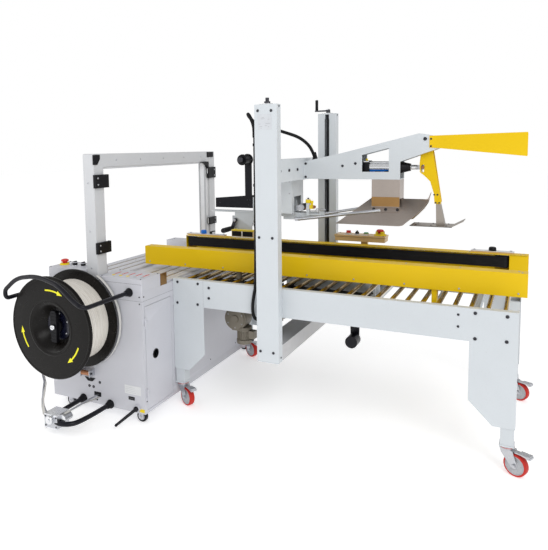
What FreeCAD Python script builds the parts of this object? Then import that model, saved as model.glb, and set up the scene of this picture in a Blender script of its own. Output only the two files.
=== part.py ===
import FreeCAD, Part
import math
import os
import Sketcher

# A carton closing line: a flap folding side belt carton sealer with an arch strapping machine
# docked at its outfeed end. All lengths are millimetres. The sketches are drawn in machine axes:
# X runs along the roller bed from its outfeed end towards the infeed end, Y runs across the bed
# from the outer face of the near side panel, Z is the height over the floor. Each finished
# sub-part is then moved so that the middle of the whole line stands on the origin.

os.makedirs("parts", exist_ok=True)
doc = FreeCAD.newDocument("closing_line")
sheet = doc.addObject("Spreadsheet::Sheet", "Sizes")

SIZES = [
    ("origin_x", 562.9, "middle of the whole line along X"),
    ("origin_y", 176.4, "middle of the whole line along Y"),
    ("bed_length", 1720, "length of the side panels"),
    ("bed_width", 898, "width over both side panels"),
    ("panel_top", 719, "top of the side panels"),
    ("rail_bottom", 572, "underside of the side panels between the legs"),
    ("leg_bottom", 207, "lower end of the leg plates"),
    ("leg_knee", 308, "height where the leg plate starts to narrow"),
    ("leg_width", 192, "width of a leg plate"),
    ("leg_foot_width", 92, "width of a leg plate at its lower end"),
    ("panel_gauge", 4, "sheet thickness of the side panels"),
    ("post_side", 55, "side of the square leg post"),
    ("post_foot", 130, "lower end of the leg post"),
    ("roller_radius", 11, "radius of a bed roller"),
    ("roller_height", 701, "height of the roller axes"),
    ("roller_pitch", 70, "spacing of the bed rollers"),
    ("mast_start", 532, "outfeed side of the columns"),
    ("mast_width", 119, "width of a column along the bed"),
    ("mast_depth", 49.3, "depth of a column across the bed"),
    ("mast_foot", 349, "lower end of the columns"),
    ("mast_top", 1634, "top of the columns"),
    ("mast_slot", 24, "width of the slot in a column"),
    ("mast_gauge", 4, "wall of a column"),
    ("base_beam_height", 81, "height of the beam that joins the columns"),
    ("screw_radius", 8, "radius of a lifting screw"),
    ("cover_start", -313, "outfeed end of the side belt covers"),
    ("cover_length", 2062, "length of the side belt covers"),
    ("cover_bottom", 743, "underside of the side belt covers"),
    ("cover_top", 851, "top of the side belt covers"),
    ("cover_outside", 182, "outer face of the near side belt cover"),
    ("cover_depth", 68, "depth of a side belt cover"),
    ("guide_rod_radius", 10, "radius of the cross guide rods"),
    ("guide_rod_height", 655, "height of the cross guide rods"),
    ("guide_rod_left", 442, "first cross guide rod along X"),
    ("guide_rod_right", 1352, "second cross guide rod along X"),
    ("beam_start", 560, "outfeed face of the head beam"),
    ("beam_thickness", 60, "thickness of the head beam"),
    ("beam_bottom", 1248, "underside of the head beam"),
    ("beam_top", 1364, "top of the head beam"),
    ("boom_face", 394, "near face of the boom"),
    ("boom_width", 110, "width of the boom"),
    ("boom_bottom", 1251, "underside of the boom"),
    ("cylinder_height", 1313, "height of the air cylinder axis"),
    ("kicker_pivot_x", 1268, "kicker pivot along X"),
    ("kicker_pivot_z", 1457, "kicker pivot height"),
    ("ski_edge", 299, "near edge of the flap plough plate"),
    ("ski_bottom", 1022, "height of the edge of the flap plough plate"),
    ("ski_slope", 39.8, "slope of the plough plate in degrees"),
    ("cabinet_start", -631, "outer end of the strapper cabinet"),
    ("cabinet_end", -1, "end of the strapper cabinet next to the bed"),
    ("cabinet_front", -285.5, "front face of the strapper cabinet"),
    ("cabinet_back", 995, "back face of the strapper cabinet"),
    ("cabinet_bottom", 54, "lower edge of the cabinet skirt"),
    ("cabinet_top", 700, "top plate of the strapper cabinet"),
    ("cabinet_gauge", 3, "sheet thickness of the strapper cabinet"),
    ("lid_top", 767, "top of the front box and of the rear box"),
    ("console_top", 788, "top of the strapper console"),
    ("table_top", 712, "conveying height of the strapper table"),
    ("arch_middle", -316, "middle of the arch along X"),
    ("arch_width", 71, "width of the arch along X"),
    ("arch_top", 1407.5, "top of the arch"),
    ("arch_beam", 70.5, "height of the arch beam"),
    ("arch_post", 74.5, "depth of an arch post"),
    ("reel_x", -400, "reel axis along X"),
    ("reel_z", 533, "reel axis height"),
    ("reel_radius", 266, "radius of the reel flanges"),
    ("reel_front", -522, "front face of the reel"),
    ("reel_back", -316, "back face of the reel"),
    ("coil_radius", 215, "outside radius of the strap coil"),
    ("drum_radius", 140, "radius of the reel drum"),
    ("guard_front", -631, "front end of the reel guard tube"),
    ("guard_radius", 11, "radius of the reel guard tube"),
    ("bumper_radius", 12.5, "radius of the lower bumper tube"),
    ("caster_radius", 50, "radius of a bed caster wheel"),
    ("caster_trail", 42, "trail of a bed caster"),
    ("caster_angle", -25, "parking angle of the bed casters in degrees"),
    ("strapper_wheel_radius", 30, "radius of a strapper wheel"),
    ("run_gap", 0.3, "gap of turning and sliding fits"),
]


class Size:
    """A length that knows its value and the spreadsheet formula that gives it."""

    def __init__(self, number, formula):
        self.number = float(number)
        self.formula = formula

    def __add__(self, other):
        return Size(self.number + worth(other), "(%s + %s)" % (self.formula, text(other)))

    def __radd__(self, other):
        return Size(worth(other) + self.number, "(%s + %s)" % (text(other), self.formula))

    def __sub__(self, other):
        return Size(self.number - worth(other), "(%s - %s)" % (self.formula, text(other)))

    def __rsub__(self, other):
        return Size(worth(other) - self.number, "(%s - %s)" % (text(other), self.formula))

    def __mul__(self, other):
        return Size(self.number * worth(other), "(%s * %s)" % (self.formula, text(other)))

    __rmul__ = __mul__

    def __truediv__(self, other):
        return Size(self.number / worth(other), "(%s / %s)" % (self.formula, text(other)))

    def __neg__(self):
        return Size(-self.number, "(0 - %s)" % self.formula)


def worth(value):
    return value.number if isinstance(value, Size) else float(value)


def text(value):
    if isinstance(value, Size):
        return value.formula
    number = "%.6g" % value
    return "(0 - %s)" % number[1:] if number.startswith("-") else number


def fill_sheet():
    """Write every driving size in the sheet and return them by name."""
    found = {}
    for row, (name, value, note) in enumerate(SIZES, start=1):
        sheet.set("A%d" % row, name)
        sheet.set("B%d" % row, str(value))
        sheet.set("C%d" % row, note)
        sheet.setAlias("B%d" % row, name)
        found[name] = Size(value, "Sizes." + name)
    doc.recompute()
    return found


S = fill_sheet()
MIDDLE = S["bed_width"] / 2
nodes = []


def bind(thing, path, value):
    """Drive one property path with a size or a plain number."""
    thing.setExpression(path, text(value))


def finish(thing, label):
    """Name a finished sub-part and bring it from machine axes to the line's own axes."""
    thing.Label = label
    bind(thing, "Placement.Base.x", -S["origin_x"])
    bind(thing, "Placement.Base.y", -S["origin_y"])
    nodes.append(thing)
    return thing


# ---------------------------------------------------------------- part design helpers

def new_body(name):
    return doc.addObject("PartDesign::Body", name)


def origin_item(body, role):
    for item in body.Origin.OriginFeatures:
        if item.Role == role:
            return item
    raise RuntimeError("no origin item " + role)


def new_sketch(body, name, plane, height=0, across=0, along=0):
    """An empty sketch on one of the body's own planes, moved along the plane's normal."""
    sketch = body.newObject("Sketcher::SketchObject", name)
    sketch.AttachmentSupport = (origin_item(body, plane + "_Plane"), [""])
    sketch.MapMode = "FlatFace"
    for axis, value in (("x", across), ("y", along), ("z", height)):
        if isinstance(value, Size) or value != 0:
            bind(sketch, "AttachmentOffset.Base." + axis, value)
    return sketch


def draw_polygon(sketch, points):
    """A closed polygon with every corner dimensioned from the sketch origin."""
    first = sketch.GeometryCount
    count = len(points)
    corners = [FreeCAD.Vector(worth(u), worth(v), 0) for u, v in points]
    sketch.addGeometry([Part.LineSegment(corners[i], corners[(i + 1) % count]) for i in range(count)])
    sketch.addConstraint([
        Sketcher.Constraint("Coincident", first + i, 2, first + (i + 1) % count, 1)
        for i in range(count)])
    for i, (u, v) in enumerate(points):
        for kind, value in (("DistanceX", u), ("DistanceY", v)):
            index = sketch.addConstraint(
                Sketcher.Constraint(kind, -1, 1, first + i, 1, worth(value)))
            if isinstance(value, Size):
                sketch.setExpression("Constraints[%d]" % index, value.formula)


def draw_circle(sketch, u, v, radius):
    """A circle with its centre and radius dimensioned."""
    centre = FreeCAD.Vector(worth(u), worth(v), 0)
    shape = Part.Circle(centre, FreeCAD.Vector(0, 0, 1), worth(radius))
    place = sketch.addGeometry(shape)
    rows = [("DistanceX", u), ("DistanceY", v)]
    for kind, value in rows:
        index = sketch.addConstraint(Sketcher.Constraint(kind, -1, 1, place, 3, worth(value)))
        if isinstance(value, Size):
            sketch.setExpression("Constraints[%d]" % index, value.formula)
    index = sketch.addConstraint(Sketcher.Constraint("Radius", place, worth(radius)))
    if isinstance(radius, Size):
        sketch.setExpression("Constraints[%d]" % index, radius.formula)


def pad_between(body, name, plane, low, high, draw):
    """Pad what draw() puts in a sketch from one coordinate to another along the normal."""
    if plane == "XZ":
        sketch = new_sketch(body, name + "_sketch", plane, -low)
    else:
        sketch = new_sketch(body, name + "_sketch", plane, low)
    draw(sketch)
    feature = body.newObject("PartDesign::Pad", name)
    feature.Profile = sketch
    bind(feature, "Length", high - low)
    feature.Reversed = plane == "XZ"
    return feature


def pocket_between(body, name, plane, low, high, draw):
    """Cut what draw() puts in a sketch from one coordinate to another along the normal."""
    if plane == "XZ":
        sketch = new_sketch(body, name + "_sketch", plane, -low)
    else:
        sketch = new_sketch(body, name + "_sketch", plane, high)
    draw(sketch)
    feature = body.newObject("PartDesign::Pocket", name)
    feature.Profile = sketch
    bind(feature, "Length", high - low)
    return feature


def polygon(points):
    return lambda sketch: draw_polygon(sketch, points)


def rectangle(u0, v0, u1, v1):
    return polygon([(u0, v0), (u1, v0), (u1, v1), (u0, v1)])


def circle(u, v, radius):
    return lambda sketch: draw_circle(sketch, u, v, radius)


def turned(body, name, plane, points, across=0, along=0, height=0, axis="V_Axis"):
    """A full revolution of a profile about the sketch's own vertical or horizontal axis."""
    sketch = new_sketch(body, name + "_sketch", plane, height, across, along)
    draw_polygon(sketch, points)
    feature = body.newObject("PartDesign::Revolution", name)
    feature.Profile = sketch
    feature.ReferenceAxis = (sketch, [axis])
    feature.Angle = 360
    return feature


def repeat(body, name, features, pitch, count):
    """Repeat features along X."""
    pattern = body.newObject("PartDesign::LinearPattern", name)
    pattern.Originals = features
    pattern.Direction = (origin_item(body, "X_Axis"), [""])
    bind(pattern, "Length", pitch * (count - 1))
    pattern.Occurrences = count
    body.Tip = pattern
    return pattern


def round_edges(body, name, feature, radius, wanted):
    """Fillet the edges of a feature that wanted() picks."""
    doc.recompute()
    names = []
    for index, edge in enumerate(feature.Shape.Edges, start=1):
        if wanted(edge):
            names.append("Edge%d" % index)
    if not names:
        raise RuntimeError("no edge to round in " + name)
    fillet = body.newObject("PartDesign::Fillet", name)
    fillet.Base = (feature, names)
    fillet.Radius = radius
    body.Tip = fillet
    return fillet


def runs_along(edge, axis):
    """True for a straight edge that runs along the given axis."""
    if edge.Curve.TypeId != "Part::GeomLine":
        return False
    direction = edge.Curve.Direction
    return abs(abs(getattr(direction, axis)) - 1) < 1e-6


# ---------------------------------------------------------------- primitive helpers

def block(name, x0, y0, z0, x1, y1, z1):
    """A box between two corners."""
    thing = doc.addObject("Part::Box", name)
    for path, low, high in (("Length", x0, x1), ("Width", y0, y1), ("Height", z0, z1)):
        bind(thing, path, high - low)
    for axis, value in (("x", x0), ("y", y0), ("z", z0)):
        bind(thing, "Placement.Base." + axis, value)
    return thing


TURNS = {
    "Z": FreeCAD.Rotation(),
    "X": FreeCAD.Rotation(FreeCAD.Vector(0, 1, 0), 90),
    "Y": FreeCAD.Rotation(FreeCAD.Vector(1, 0, 0), -90),
}


def rod(name, axis, x, y, z, radius, length):
    """A round bar that starts at a point and runs along an axis."""
    thing = doc.addObject("Part::Cylinder", name)
    thing.Placement = FreeCAD.Placement(FreeCAD.Vector(worth(x), worth(y), worth(z)), TURNS[axis])
    bind(thing, "Radius", radius)
    bind(thing, "Height", length)
    for path, value in (("x", x), ("y", y), ("z", z)):
        bind(thing, "Placement.Base." + path, value)
    return thing


def taper(name, axis, x, y, z, radius, end_radius, length):
    """A round cone that starts at a point and runs along an axis."""
    thing = doc.addObject("Part::Cone", name)
    thing.Placement = FreeCAD.Placement(FreeCAD.Vector(worth(x), worth(y), worth(z)), TURNS[axis])
    bind(thing, "Radius1", radius)
    bind(thing, "Radius2", end_radius)
    bind(thing, "Height", length)
    for path, value in (("x", x), ("y", y), ("z", z)):
        bind(thing, "Placement.Base." + path, value)
    return thing


def ball(name, centre, radius):
    thing = doc.addObject("Part::Sphere", name)
    thing.Placement.Base = centre
    thing.Radius = radius
    return thing


def joined(name, things):
    """One solid from overlapping or touching shapes."""
    thing = doc.addObject("Part::MultiFuse", name)
    thing.Shapes = things
    thing.Refine = True
    return thing


def minus(name, base, tool):
    thing = doc.addObject("Part::Cut", name)
    thing.Base = base
    thing.Tool = tool
    return thing


def group(name, things):
    """Separate pieces that make one sub-part."""
    thing = doc.addObject("Part::Compound", name)
    thing.Links = things
    return thing


def mirrored(thing, name, middle=MIDDLE):
    """The same piece on the other side of the bed's middle plane."""
    copy = doc.addObject("Part::Mirroring", name)
    copy.Source = thing
    copy.Normal = FreeCAD.Vector(0, 1, 0)
    copy.Base = FreeCAD.Vector(0, worth(middle), 0)
    bind(copy, "Base.y", middle)
    return copy


def tube_along(name, corners, bends, radius):
    """A round tube on straight runs that tangent arcs of the given radii join."""
    thing = doc.addObject("Part::Feature", name)
    edges = []
    start = corners[0]
    for before, corner, after, bend in zip(corners, corners[1:], corners[2:], bends):
        back = (before - corner).normalize()
        ahead = (after - corner).normalize()
        half = back.getAngle(ahead) / 2
        reach = bend / math.tan(half)
        enter = corner + back * reach
        leave = corner + ahead * reach
        centre = corner + (back + ahead).normalize() * (bend / math.sin(half))
        middle = centre + (corner - centre).normalize() * bend
        edges.append(Part.makeLine(start, enter))
        edges.append(Part.Arc(enter, middle, leave).toShape())
        start = leave
    edges.append(Part.makeLine(start, corners[-1]))
    path = Part.Wire(edges)
    along = (corners[1] - corners[0]).normalize()
    ring = Part.Wire(Part.makeCircle(radius, corners[0], along))
    thing.Shape = path.makePipeShell([ring], True, True)
    share = thing.Shape.Volume / (math.pi * radius ** 2 * path.Length)
    print("%-20s length %.0f mm, smallest bend %.0f mm, volume share %.3f" % (
        name, path.Length, min(bends), share))
    return thing


def vectors(points):
    return [FreeCAD.Vector(*[worth(c) for c in point]) for point in points]


def bent_tube(name, points, radius, bend):
    """A metal tube with the same bend at every corner."""
    corners = vectors(points)
    return tube_along(name, corners, [bend] * (len(corners) - 2), worth(radius))


def hose_tube(name, points, radius):
    """A hose whose bends are as large as the runs beside them allow."""
    corners = vectors(points)
    bends = []
    for before, corner, after in zip(corners, corners[1:], corners[2:]):
        shorter = min((before - corner).Length, (after - corner).Length)
        turn = (corner - before).getAngle(after - corner)
        bends.append(0.45 * shorter / math.tan(turn / 2))
    return tube_along(name, corners, bends, radius)


# ---------------------------------------------------------------- bed

def side_panels():
    """Two sheet panels with folded lips; each one makes a rail and two leg plates."""
    gauge = S["panel_gauge"]
    length = S["bed_length"]
    top = S["panel_top"]
    body = new_body("near_panel")
    web = [
        (0, S["leg_bottom"]),
        (S["leg_foot_width"], S["leg_bottom"]),
        (S["leg_width"], S["leg_knee"]),
        (S["leg_width"], S["rail_bottom"]),
        (length - S["leg_width"], S["rail_bottom"]),
        (length - S["leg_width"], S["leg_knee"]),
        (length - S["leg_foot_width"], S["leg_bottom"]),
        (length, S["leg_bottom"]),
        (length, top),
        (0, top),
    ]
    pad_between(body, "panel_web", "XZ", 0, gauge, polygon(web))
    pad_between(body, "top_lip", "XY", top - gauge, top, rectangle(0, 0, length, 34))
    pad_between(body, "bottom_lip", "XY", S["rail_bottom"], S["rail_bottom"] + gauge,
                rectangle(S["leg_width"], 0, length - S["leg_width"], 34))
    low = S["leg_bottom"]
    pad_between(body, "outfeed_lip", "YZ", 0, gauge, rectangle(0, low, 60, top))
    pad_between(body, "infeed_lip", "YZ", length - gauge, length, rectangle(0, low, 60, top))
    return finish(group("panels", [body, mirrored(body, "far_panel")]), "side_panels")


def leg_post(name, x0, y0):
    """One square leg post with the caster plate under it."""
    side = S["post_side"]
    outer = block(name + "_outer", x0, y0, S["post_foot"], x0 + side, y0 + side, 560)
    inner = block(name + "_inner", x0 + 3, y0 + 3, S["post_foot"], x0 + side - 3, y0 + side - 3, 560)
    plate = block(name + "_plate", x0 - 3, y0 - 3, S["post_foot"] - 6,
                  x0 + side + 3, y0 + side + 3, S["post_foot"])
    return joined(name, [minus(name + "_tube", outer, inner), plate])


def leg_posts():
    gauge = S["panel_gauge"]
    far_x = S["bed_length"] - gauge - S["post_side"]
    far_y = S["bed_width"] - gauge - S["post_side"]
    posts = [
        leg_post("post_outfeed_near", gauge, gauge),
        leg_post("post_infeed_near", far_x, gauge),
        leg_post("post_outfeed_far", gauge, far_y),
        leg_post("post_infeed_far", far_x, far_y),
    ]
    return finish(group("posts", posts), "leg_posts")


def bed_crossbars():
    """Cross bars, the two guide rods for the side drives and the rails beside the tape slot."""
    gauge = S["panel_gauge"]
    width = S["bed_width"]
    things = []
    for index, start in enumerate((110, 510, 990, 1500)):
        outer = block("bar%d_outer" % index, start, gauge, 580, start + 40, width - gauge, 620)
        inner = block("bar%d_inner" % index, start + 3, gauge, 583, start + 37, width - gauge, 617)
        things.append(minus("bar%d" % index, outer, inner))
    for name, place in (("rod_left", S["guide_rod_left"]), ("rod_right", S["guide_rod_right"])):
        things.append(rod(name, "Y", place, gauge, S["guide_rod_height"],
                          S["guide_rod_radius"], width - gauge * 2))
    rail = block("tape_rail_near", 515, 394, 620, 1025, 400, 706)
    things.append(rail)
    things.append(mirrored(rail, "tape_rail_far"))
    things.append(block("junction_box", 508, 95, 520, 552, 165, 580))
    post = new_body("crank_post")
    pad_between(post, "crank_post_plate", "XZ", width, width + 8, polygon([
        (4, 600), (60, 600), (60, 965), (-90, 965), (-90, 800), (4, 800)]))
    pocket_between(post, "crank_post_hole", "XZ", width - 1, width + 9, circle(-62, 935, 8.5))
    things.append(post)
    return finish(group("crossbars", things), "bed_crossbars")


def roller_row(name, start, count, low, high):
    """A row of equal rollers; each one is a tube on its axle."""
    body = new_body(name)
    tube = pad_between(body, name + "_tube", "XZ", low + 6, high - 6,
                       circle(start, S["roller_height"], S["roller_radius"]))
    axle = pad_between(body, name + "_axle", "XZ", low, high,
                       circle(start, S["roller_height"], 4))
    repeat(body, name + "_row", [tube, axle], S["roller_pitch"], count)
    return body


def bed_rollers():
    gauge = S["panel_gauge"]
    low = gauge
    high = S["bed_width"] - gauge
    short = roller_row("short_rollers", 547, 7, low, Size(394, "394"))
    things = [
        roller_row("outfeed_rollers", 57, 7, low, high),
        roller_row("infeed_rollers", 1037, 10, low, high),
        short,
        mirrored(short, "short_rollers_far"),
    ]
    return finish(group("rollers", things), "bed_rollers")


def mast_columns():
    """Two slotted columns that guide the head, each with a cap for its lifting screw."""
    x0 = S["mast_start"]
    x1 = x0 + S["mast_width"]
    y0 = -S["mast_depth"]
    wall = S["mast_gauge"]
    centre = x0 + S["mast_width"] / 2
    slot0 = centre - S["mast_slot"] / 2
    slot1 = centre + S["mast_slot"] / 2
    body = new_body("near_column")
    profile = [
        (x0, y0), (x1, y0), (x1, 0), (slot1, 0), (slot1, -wall), (x1 - wall, -wall),
        (x1 - wall, y0 + wall), (x0 + wall, y0 + wall), (x0 + wall, -wall),
        (slot0, -wall), (slot0, 0), (x0, 0),
    ]
    pad_between(body, "column_wall", "XY", S["mast_foot"], S["mast_top"] - 6, polygon(profile))
    pad_between(body, "column_cap", "XY", S["mast_top"] - 6, S["mast_top"], rectangle(x0, y0, x1, 0))
    pocket_between(body, "column_cap_hole", "XY", S["mast_top"] - 7, S["mast_top"] + 1,
                   circle(centre, y0 / 2, S["screw_radius"] + 0.5))
    return finish(group("columns", [body, mirrored(body, "far_column")]), "mast_columns")


def mast_base_beam():
    x0 = S["mast_start"]
    x1 = x0 + S["mast_width"]
    z0 = S["mast_foot"]
    z1 = z0 + S["base_beam_height"]
    body = new_body("base_beam")
    pad_between(body, "base_beam_outer", "XZ", 0, S["bed_width"], rectangle(x0, z0, x1, z1))
    pocket_between(body, "base_beam_hollow", "XZ", -1, S["bed_width"] + 1,
                   rectangle(x0 + 5, z0 + 5, x1 - 5, z1 - 5))
    return finish(body, "mast_base_beam")


def bottom_tape_head():
    """The lower tape cassette in the bed, with its tape roll arm hanging under it."""
    cheek = new_body("lower_cheek")
    pad_between(cheek, "lower_cheek_plate", "XZ", Size(404, "404"), Size(408, "408"), polygon([
        (600, 600), (930, 600), (930, 680), (880, 706), (640, 706), (600, 680)]))
    things = [
        cheek,
        mirrored(cheek, "lower_cheek_far"),
        rod("lower_spacer_a", "Y", 640, 400, 640, 12, 98),
        rod("lower_spacer_b", "Y", 900, 400, 640, 12, 98),
        rod("lower_roller_a", "Y", 700, 408, 690, 20, 82),
        rod("lower_roller_b", "Y", 850, 408, 690, 20, 82),
        block("lower_blade", 740, 408, 640, 800, 490, 700),
    ]
    arm = new_body("lower_arm")
    pad_between(arm, "lower_arm_plate", "XZ", Size(480, "480"), Size(490, "490"), polygon([
        (866, 351), (878, 322), (902, 322), (914, 351), (920, 660), (860, 660)]))
    things.append(arm)
    things.append(rod("lower_tape_mandrel", "Y", 890, 405, 351, 34, 75))
    return finish(joined("lower_head", things), "bottom_tape_head")


def control_box():
    """The sealer's push button box on a post at the far side of the bed."""
    case = new_body("button_case")
    pad = pad_between(case, "button_case_block", "XY", Size(856, "856"), Size(893, "893"),
                      rectangle(686, 760, 990, 850))
    round_edges(case, "button_case_rounding", pad, 4, lambda edge: runs_along(edge, "z"))
    things = [
        case,
        block("box_arm", 820, 840, 848, 860, 892, 856),
        block("box_post", 820, 866, S["panel_top"], 860, 892, 848),
    ]
    for name, place in (("stop_bezel", 760), ("start_bezel", 868)):
        things.append(minus(name, rod(name + "_outer", "Z", place, 805, 893, 18, 9),
                            rod(name + "_inner", "Z", place, 805, 893, 14.5, 9)))
    things.append(rod("selector_knob", "Z", 813, 805, 893, 11, 16))
    things.append(rod("emergency_base", "Z", 952, 805, 893, 31, 8))
    return finish(joined("control_case", things), "control_box")


def push_button(label, x, y, base, radius, height):
    """A plain push button standing over its bezel."""
    body = new_body(label + "_body")
    pad = pad_between(body, label + "_cap", "XY", Size(base, str(base)),
                      Size(base + height, str(base + height)), circle(x, y, radius))
    round_edges(body, label + "_rounding", pad, 1.5,
                lambda edge: abs(edge.BoundBox.ZMin - base - height) < 0.01)
    return finish(body, label)


def mushroom_button(label, x, y, base):
    """An emergency button with a wide head on a stem."""
    body = new_body(label + "_body")
    turned(body, label + "_head", "XZ", [
        (0, base), (13, base), (13, base + 8), (20, base + 9), (22, base + 14),
        (20, base + 20), (12, base + 23), (0, base + 24)], across=x, height=-Size(y, str(y)))
    return finish(body, label)


# ---------------------------------------------------------------- side belt drives

def belt_cover_shell(name):
    """The near belt cover: a long channel, open to the belt, with two sliding feet."""
    x0 = S["cover_start"]
    x1 = x0 + S["cover_length"]
    y0 = S["cover_outside"]
    y1 = y0 + S["cover_depth"]
    z0 = S["cover_bottom"]
    z1 = S["cover_top"]
    body = new_body(name + "_channel")
    pad_between(body, name + "_sheet", "YZ", x0, x1, polygon([
        (y0, z0), (y1, z0), (y1, z0 + 3), (y0 + 3, z0 + 3),
        (y0 + 3, z1 - 3), (y1, z1 - 3), (y1, z1), (y0, z1)]))
    pad_between(body, name + "_end_a", "YZ", x0, x0 + 3, rectangle(y0, z0, y1, z1))
    pad_between(body, name + "_end_b", "YZ", x1 - 3, x1, rectangle(y0, z0, y1, z1))
    backing = block(name + "_backing", -240, y0 + 46, z0 + 3, 1590, y0 + 52, z1 - 3)
    feet = []
    bores = []
    for mark, place in (("a", S["guide_rod_left"]), ("b", S["guide_rod_right"])):
        feet.append(block(name + "_neck_" + mark, place - 12, y0 + 9, S["guide_rod_height"],
                          place + 12, y1 - 9, z0))
        feet.append(rod(name + "_sleeve_" + mark, "Y", place, y0 + 2, S["guide_rod_height"], 18, 64))
        bores.append(rod(name + "_bore_" + mark, "Y", place, y0 - 5, S["guide_rod_height"],
                         S["guide_rod_radius"] + S["run_gap"], 80))
    solid = joined(name + "_solid", [body, backing] + feet)
    return minus(name + "_shell", solid, joined(name + "_bores", bores))


def near_belt_cover():
    return finish(belt_cover_shell("near_cover"), "near_belt_cover")


def far_belt_cover():
    return finish(mirrored(belt_cover_shell("far_cover"), "far_cover_mirror"), "far_belt_cover")


def cover_fittings():
    """Two clamp plates with their knobs and a sensor block, on top of the far cover."""
    top = S["cover_top"]
    left = joined("left_clamp", [
        block("clamp_plate_left", -325, 676, top, -40, 716, top + 7),
        rod("clamp_knob_left", "Z", -202, 696, top + 7, 14, 22)])
    right = joined("right_clamp", [
        block("clamp_plate_right", 1470, 676, top, 1680, 716, top + 7),
        rod("clamp_knob_right", "Z", 1575, 696, top + 7, 14, 14)])
    sensor = block("sensor_block", 20, 672, top, 175, 716, top + 48)
    return finish(group("fittings", [left, right, sensor]), "cover_fittings")


def belt_loop(name):
    """A side belt: a flat loop with its two end drums."""
    y0 = S["cover_outside"] + 20
    y1 = S["cover_outside"] + S["cover_depth"] - 0.5
    z0 = S["cover_bottom"] + 40
    z1 = S["cover_top"] - 10
    radius = (y1 - y0) / 2
    middle = (y0 + y1) / 2
    left = S["cover_start"] + 8 + radius
    right = S["cover_start"] + S["cover_length"] - 92 - radius
    height = z1 - z0
    outer = joined(name + "_outer", [
        block(name + "_outer_run", left, y0, z0, right, y1, z1),
        rod(name + "_outer_a", "Z", left, middle, z0, radius, height),
        rod(name + "_outer_b", "Z", right, middle, z0, radius, height)])
    inner = joined(name + "_inner", [
        block(name + "_inner_run", left, y0 + 2, z0 - 1, right, y1 - 2, z1 + 1),
        rod(name + "_inner_a", "Z", left, middle, z0 - 1, radius - 2, height + 2),
        rod(name + "_inner_b", "Z", right, middle, z0 - 1, radius - 2, height + 2)])
    loop = minus(name + "_loop", outer, inner)
    drums = [
        rod(name + "_drum_a", "Z", left, middle, z0 - 3, radius - 2, height + 6),
        rod(name + "_drum_b", "Z", right, middle, z0 - 3, radius - 2, height + 6),
    ]
    return group(name + "_set", [loop] + drums)


def side_belts():
    finish(belt_loop("near_loop"), "near_belt")
    return finish(mirrored(belt_loop("far_loop"), "far_loop_mirror"), "far_belt")


def drive_motor_shape(name):
    """A worm gear motor hanging under a side drive; its neck passes between two rollers."""
    y = S["cover_outside"] + S["cover_depth"] / 2
    things = [
        rod(name + "_neck", "Z", 302, y, 500, 16, S["cover_bottom"] - 500),
        rod(name + "_gear_case", "Y", 293, y - 40, 475, 66, 80),
        rod(name + "_flange", "Z", 329, y, 415, 44, 12),
        rod(name + "_stator", "Z", 329, y, 347, 36, 80),
    ]
    return joined(name, things)


def drive_motors():
    finish(drive_motor_shape("near_motor"), "near_drive_motor")
    return finish(mirrored(drive_motor_shape("far_motor"), "far_motor_mirror"), "far_drive_motor")


def width_crank():
    """The hand crank that sets the distance of the side drives."""
    things = [
        rod("width_shaft", "Y", -62, 884, 935, 8, 26),
        rod("width_hub", "Y", -62, 878, 935, 13, 19),
        rod("width_grip", "Y", -85, 746, 878, 15, 138),
    ]
    arm = new_body("width_arm")
    pad_between(arm, "width_arm_plate", "XZ", Size(878, "878"), Size(886, "886"), polygon([
        (-72, 940), (-52, 930), (-74, 870), (-96, 880)]))
    return finish(joined("width_handle", things + [arm]), "width_crank")


# ---------------------------------------------------------------- lifting head

def head_beam():
    """The cross beam; a carriage at each end runs on the screw inside its column."""
    x0 = S["beam_start"]
    x1 = x0 + S["beam_thickness"]
    z0 = S["beam_bottom"]
    z1 = S["beam_top"]
    wide = S["bed_width"]
    centre = S["mast_start"] + S["mast_width"] / 2
    screw_y = -S["mast_depth"] / 2
    outer = block("beam_outer", x0, 6, z0, x1, wide - 6, z1)
    inner = block("beam_inner", x0 + 5, 12, z0 + 5, x1 - 5, wide - 12, z1 - 5)
    tongue = block("tongue_near", centre - 10, -8, z0 + 10, centre + 10, 8, z1 - 10)
    carriage = block("carriage_near", centre - 50, -41, z0 + 10, centre + 50, -8, z1 - 10)
    near = joined("beam_end_near", [tongue, carriage])
    whole = joined("beam_whole", [minus("beam_tube", outer, inner), near,
                                  mirrored(near, "beam_end_far")])
    bore = rod("screw_bore_near", "Z", centre, screw_y, z0, S["screw_radius"] + 0.4, 120)
    bores = group("screw_bores", [bore, mirrored(bore, "screw_bore_far")])
    return finish(minus("beam", whole, bores), "head_beam")


def boom():
    """The rising boom: a hollow arm with an open nose and a window for the air cylinder."""
    y0 = S["boom_face"]
    y1 = y0 + S["boom_width"]
    x0 = S["beam_start"] + S["beam_thickness"]
    z0 = S["boom_bottom"]
    body = new_body("boom_body")
    pad_between(body, "boom_outline", "XZ", y0, y1, polygon([
        (x0, z0), (1146, z0), (1146, 1343), (1316, 1403), (1325, 1408),
        (1288, 1475), (1237, 1485), (835, 1390), (x0, 1345)]))
    pocket_between(body, "boom_hollow", "XZ", y0 + 4, y1 - 4, polygon([
        (x0 + 8, z0 + 5), (1150, z0 + 5), (1150, 1330), (1345, 1395), (1292, 1470.5),
        (1238, 1481), (836, 1386), (x0 + 8, 1342)]))
    pocket_between(body, "boom_window", "XZ", y0 - 1, y1 + 1, polygon([
        (948, 1291), (1088, 1291), (1088, 1414), (948, 1379)]))
    pin = rod("kicker_pin", "Y", S["kicker_pivot_x"], y0, S["kicker_pivot_z"], 8, S["boom_width"])
    gland = rod("hose_gland", "Z", 669, MIDDLE, 1346, 14, 16)
    return finish(joined("boom_whole", [body, pin, gland]), "boom")


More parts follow.
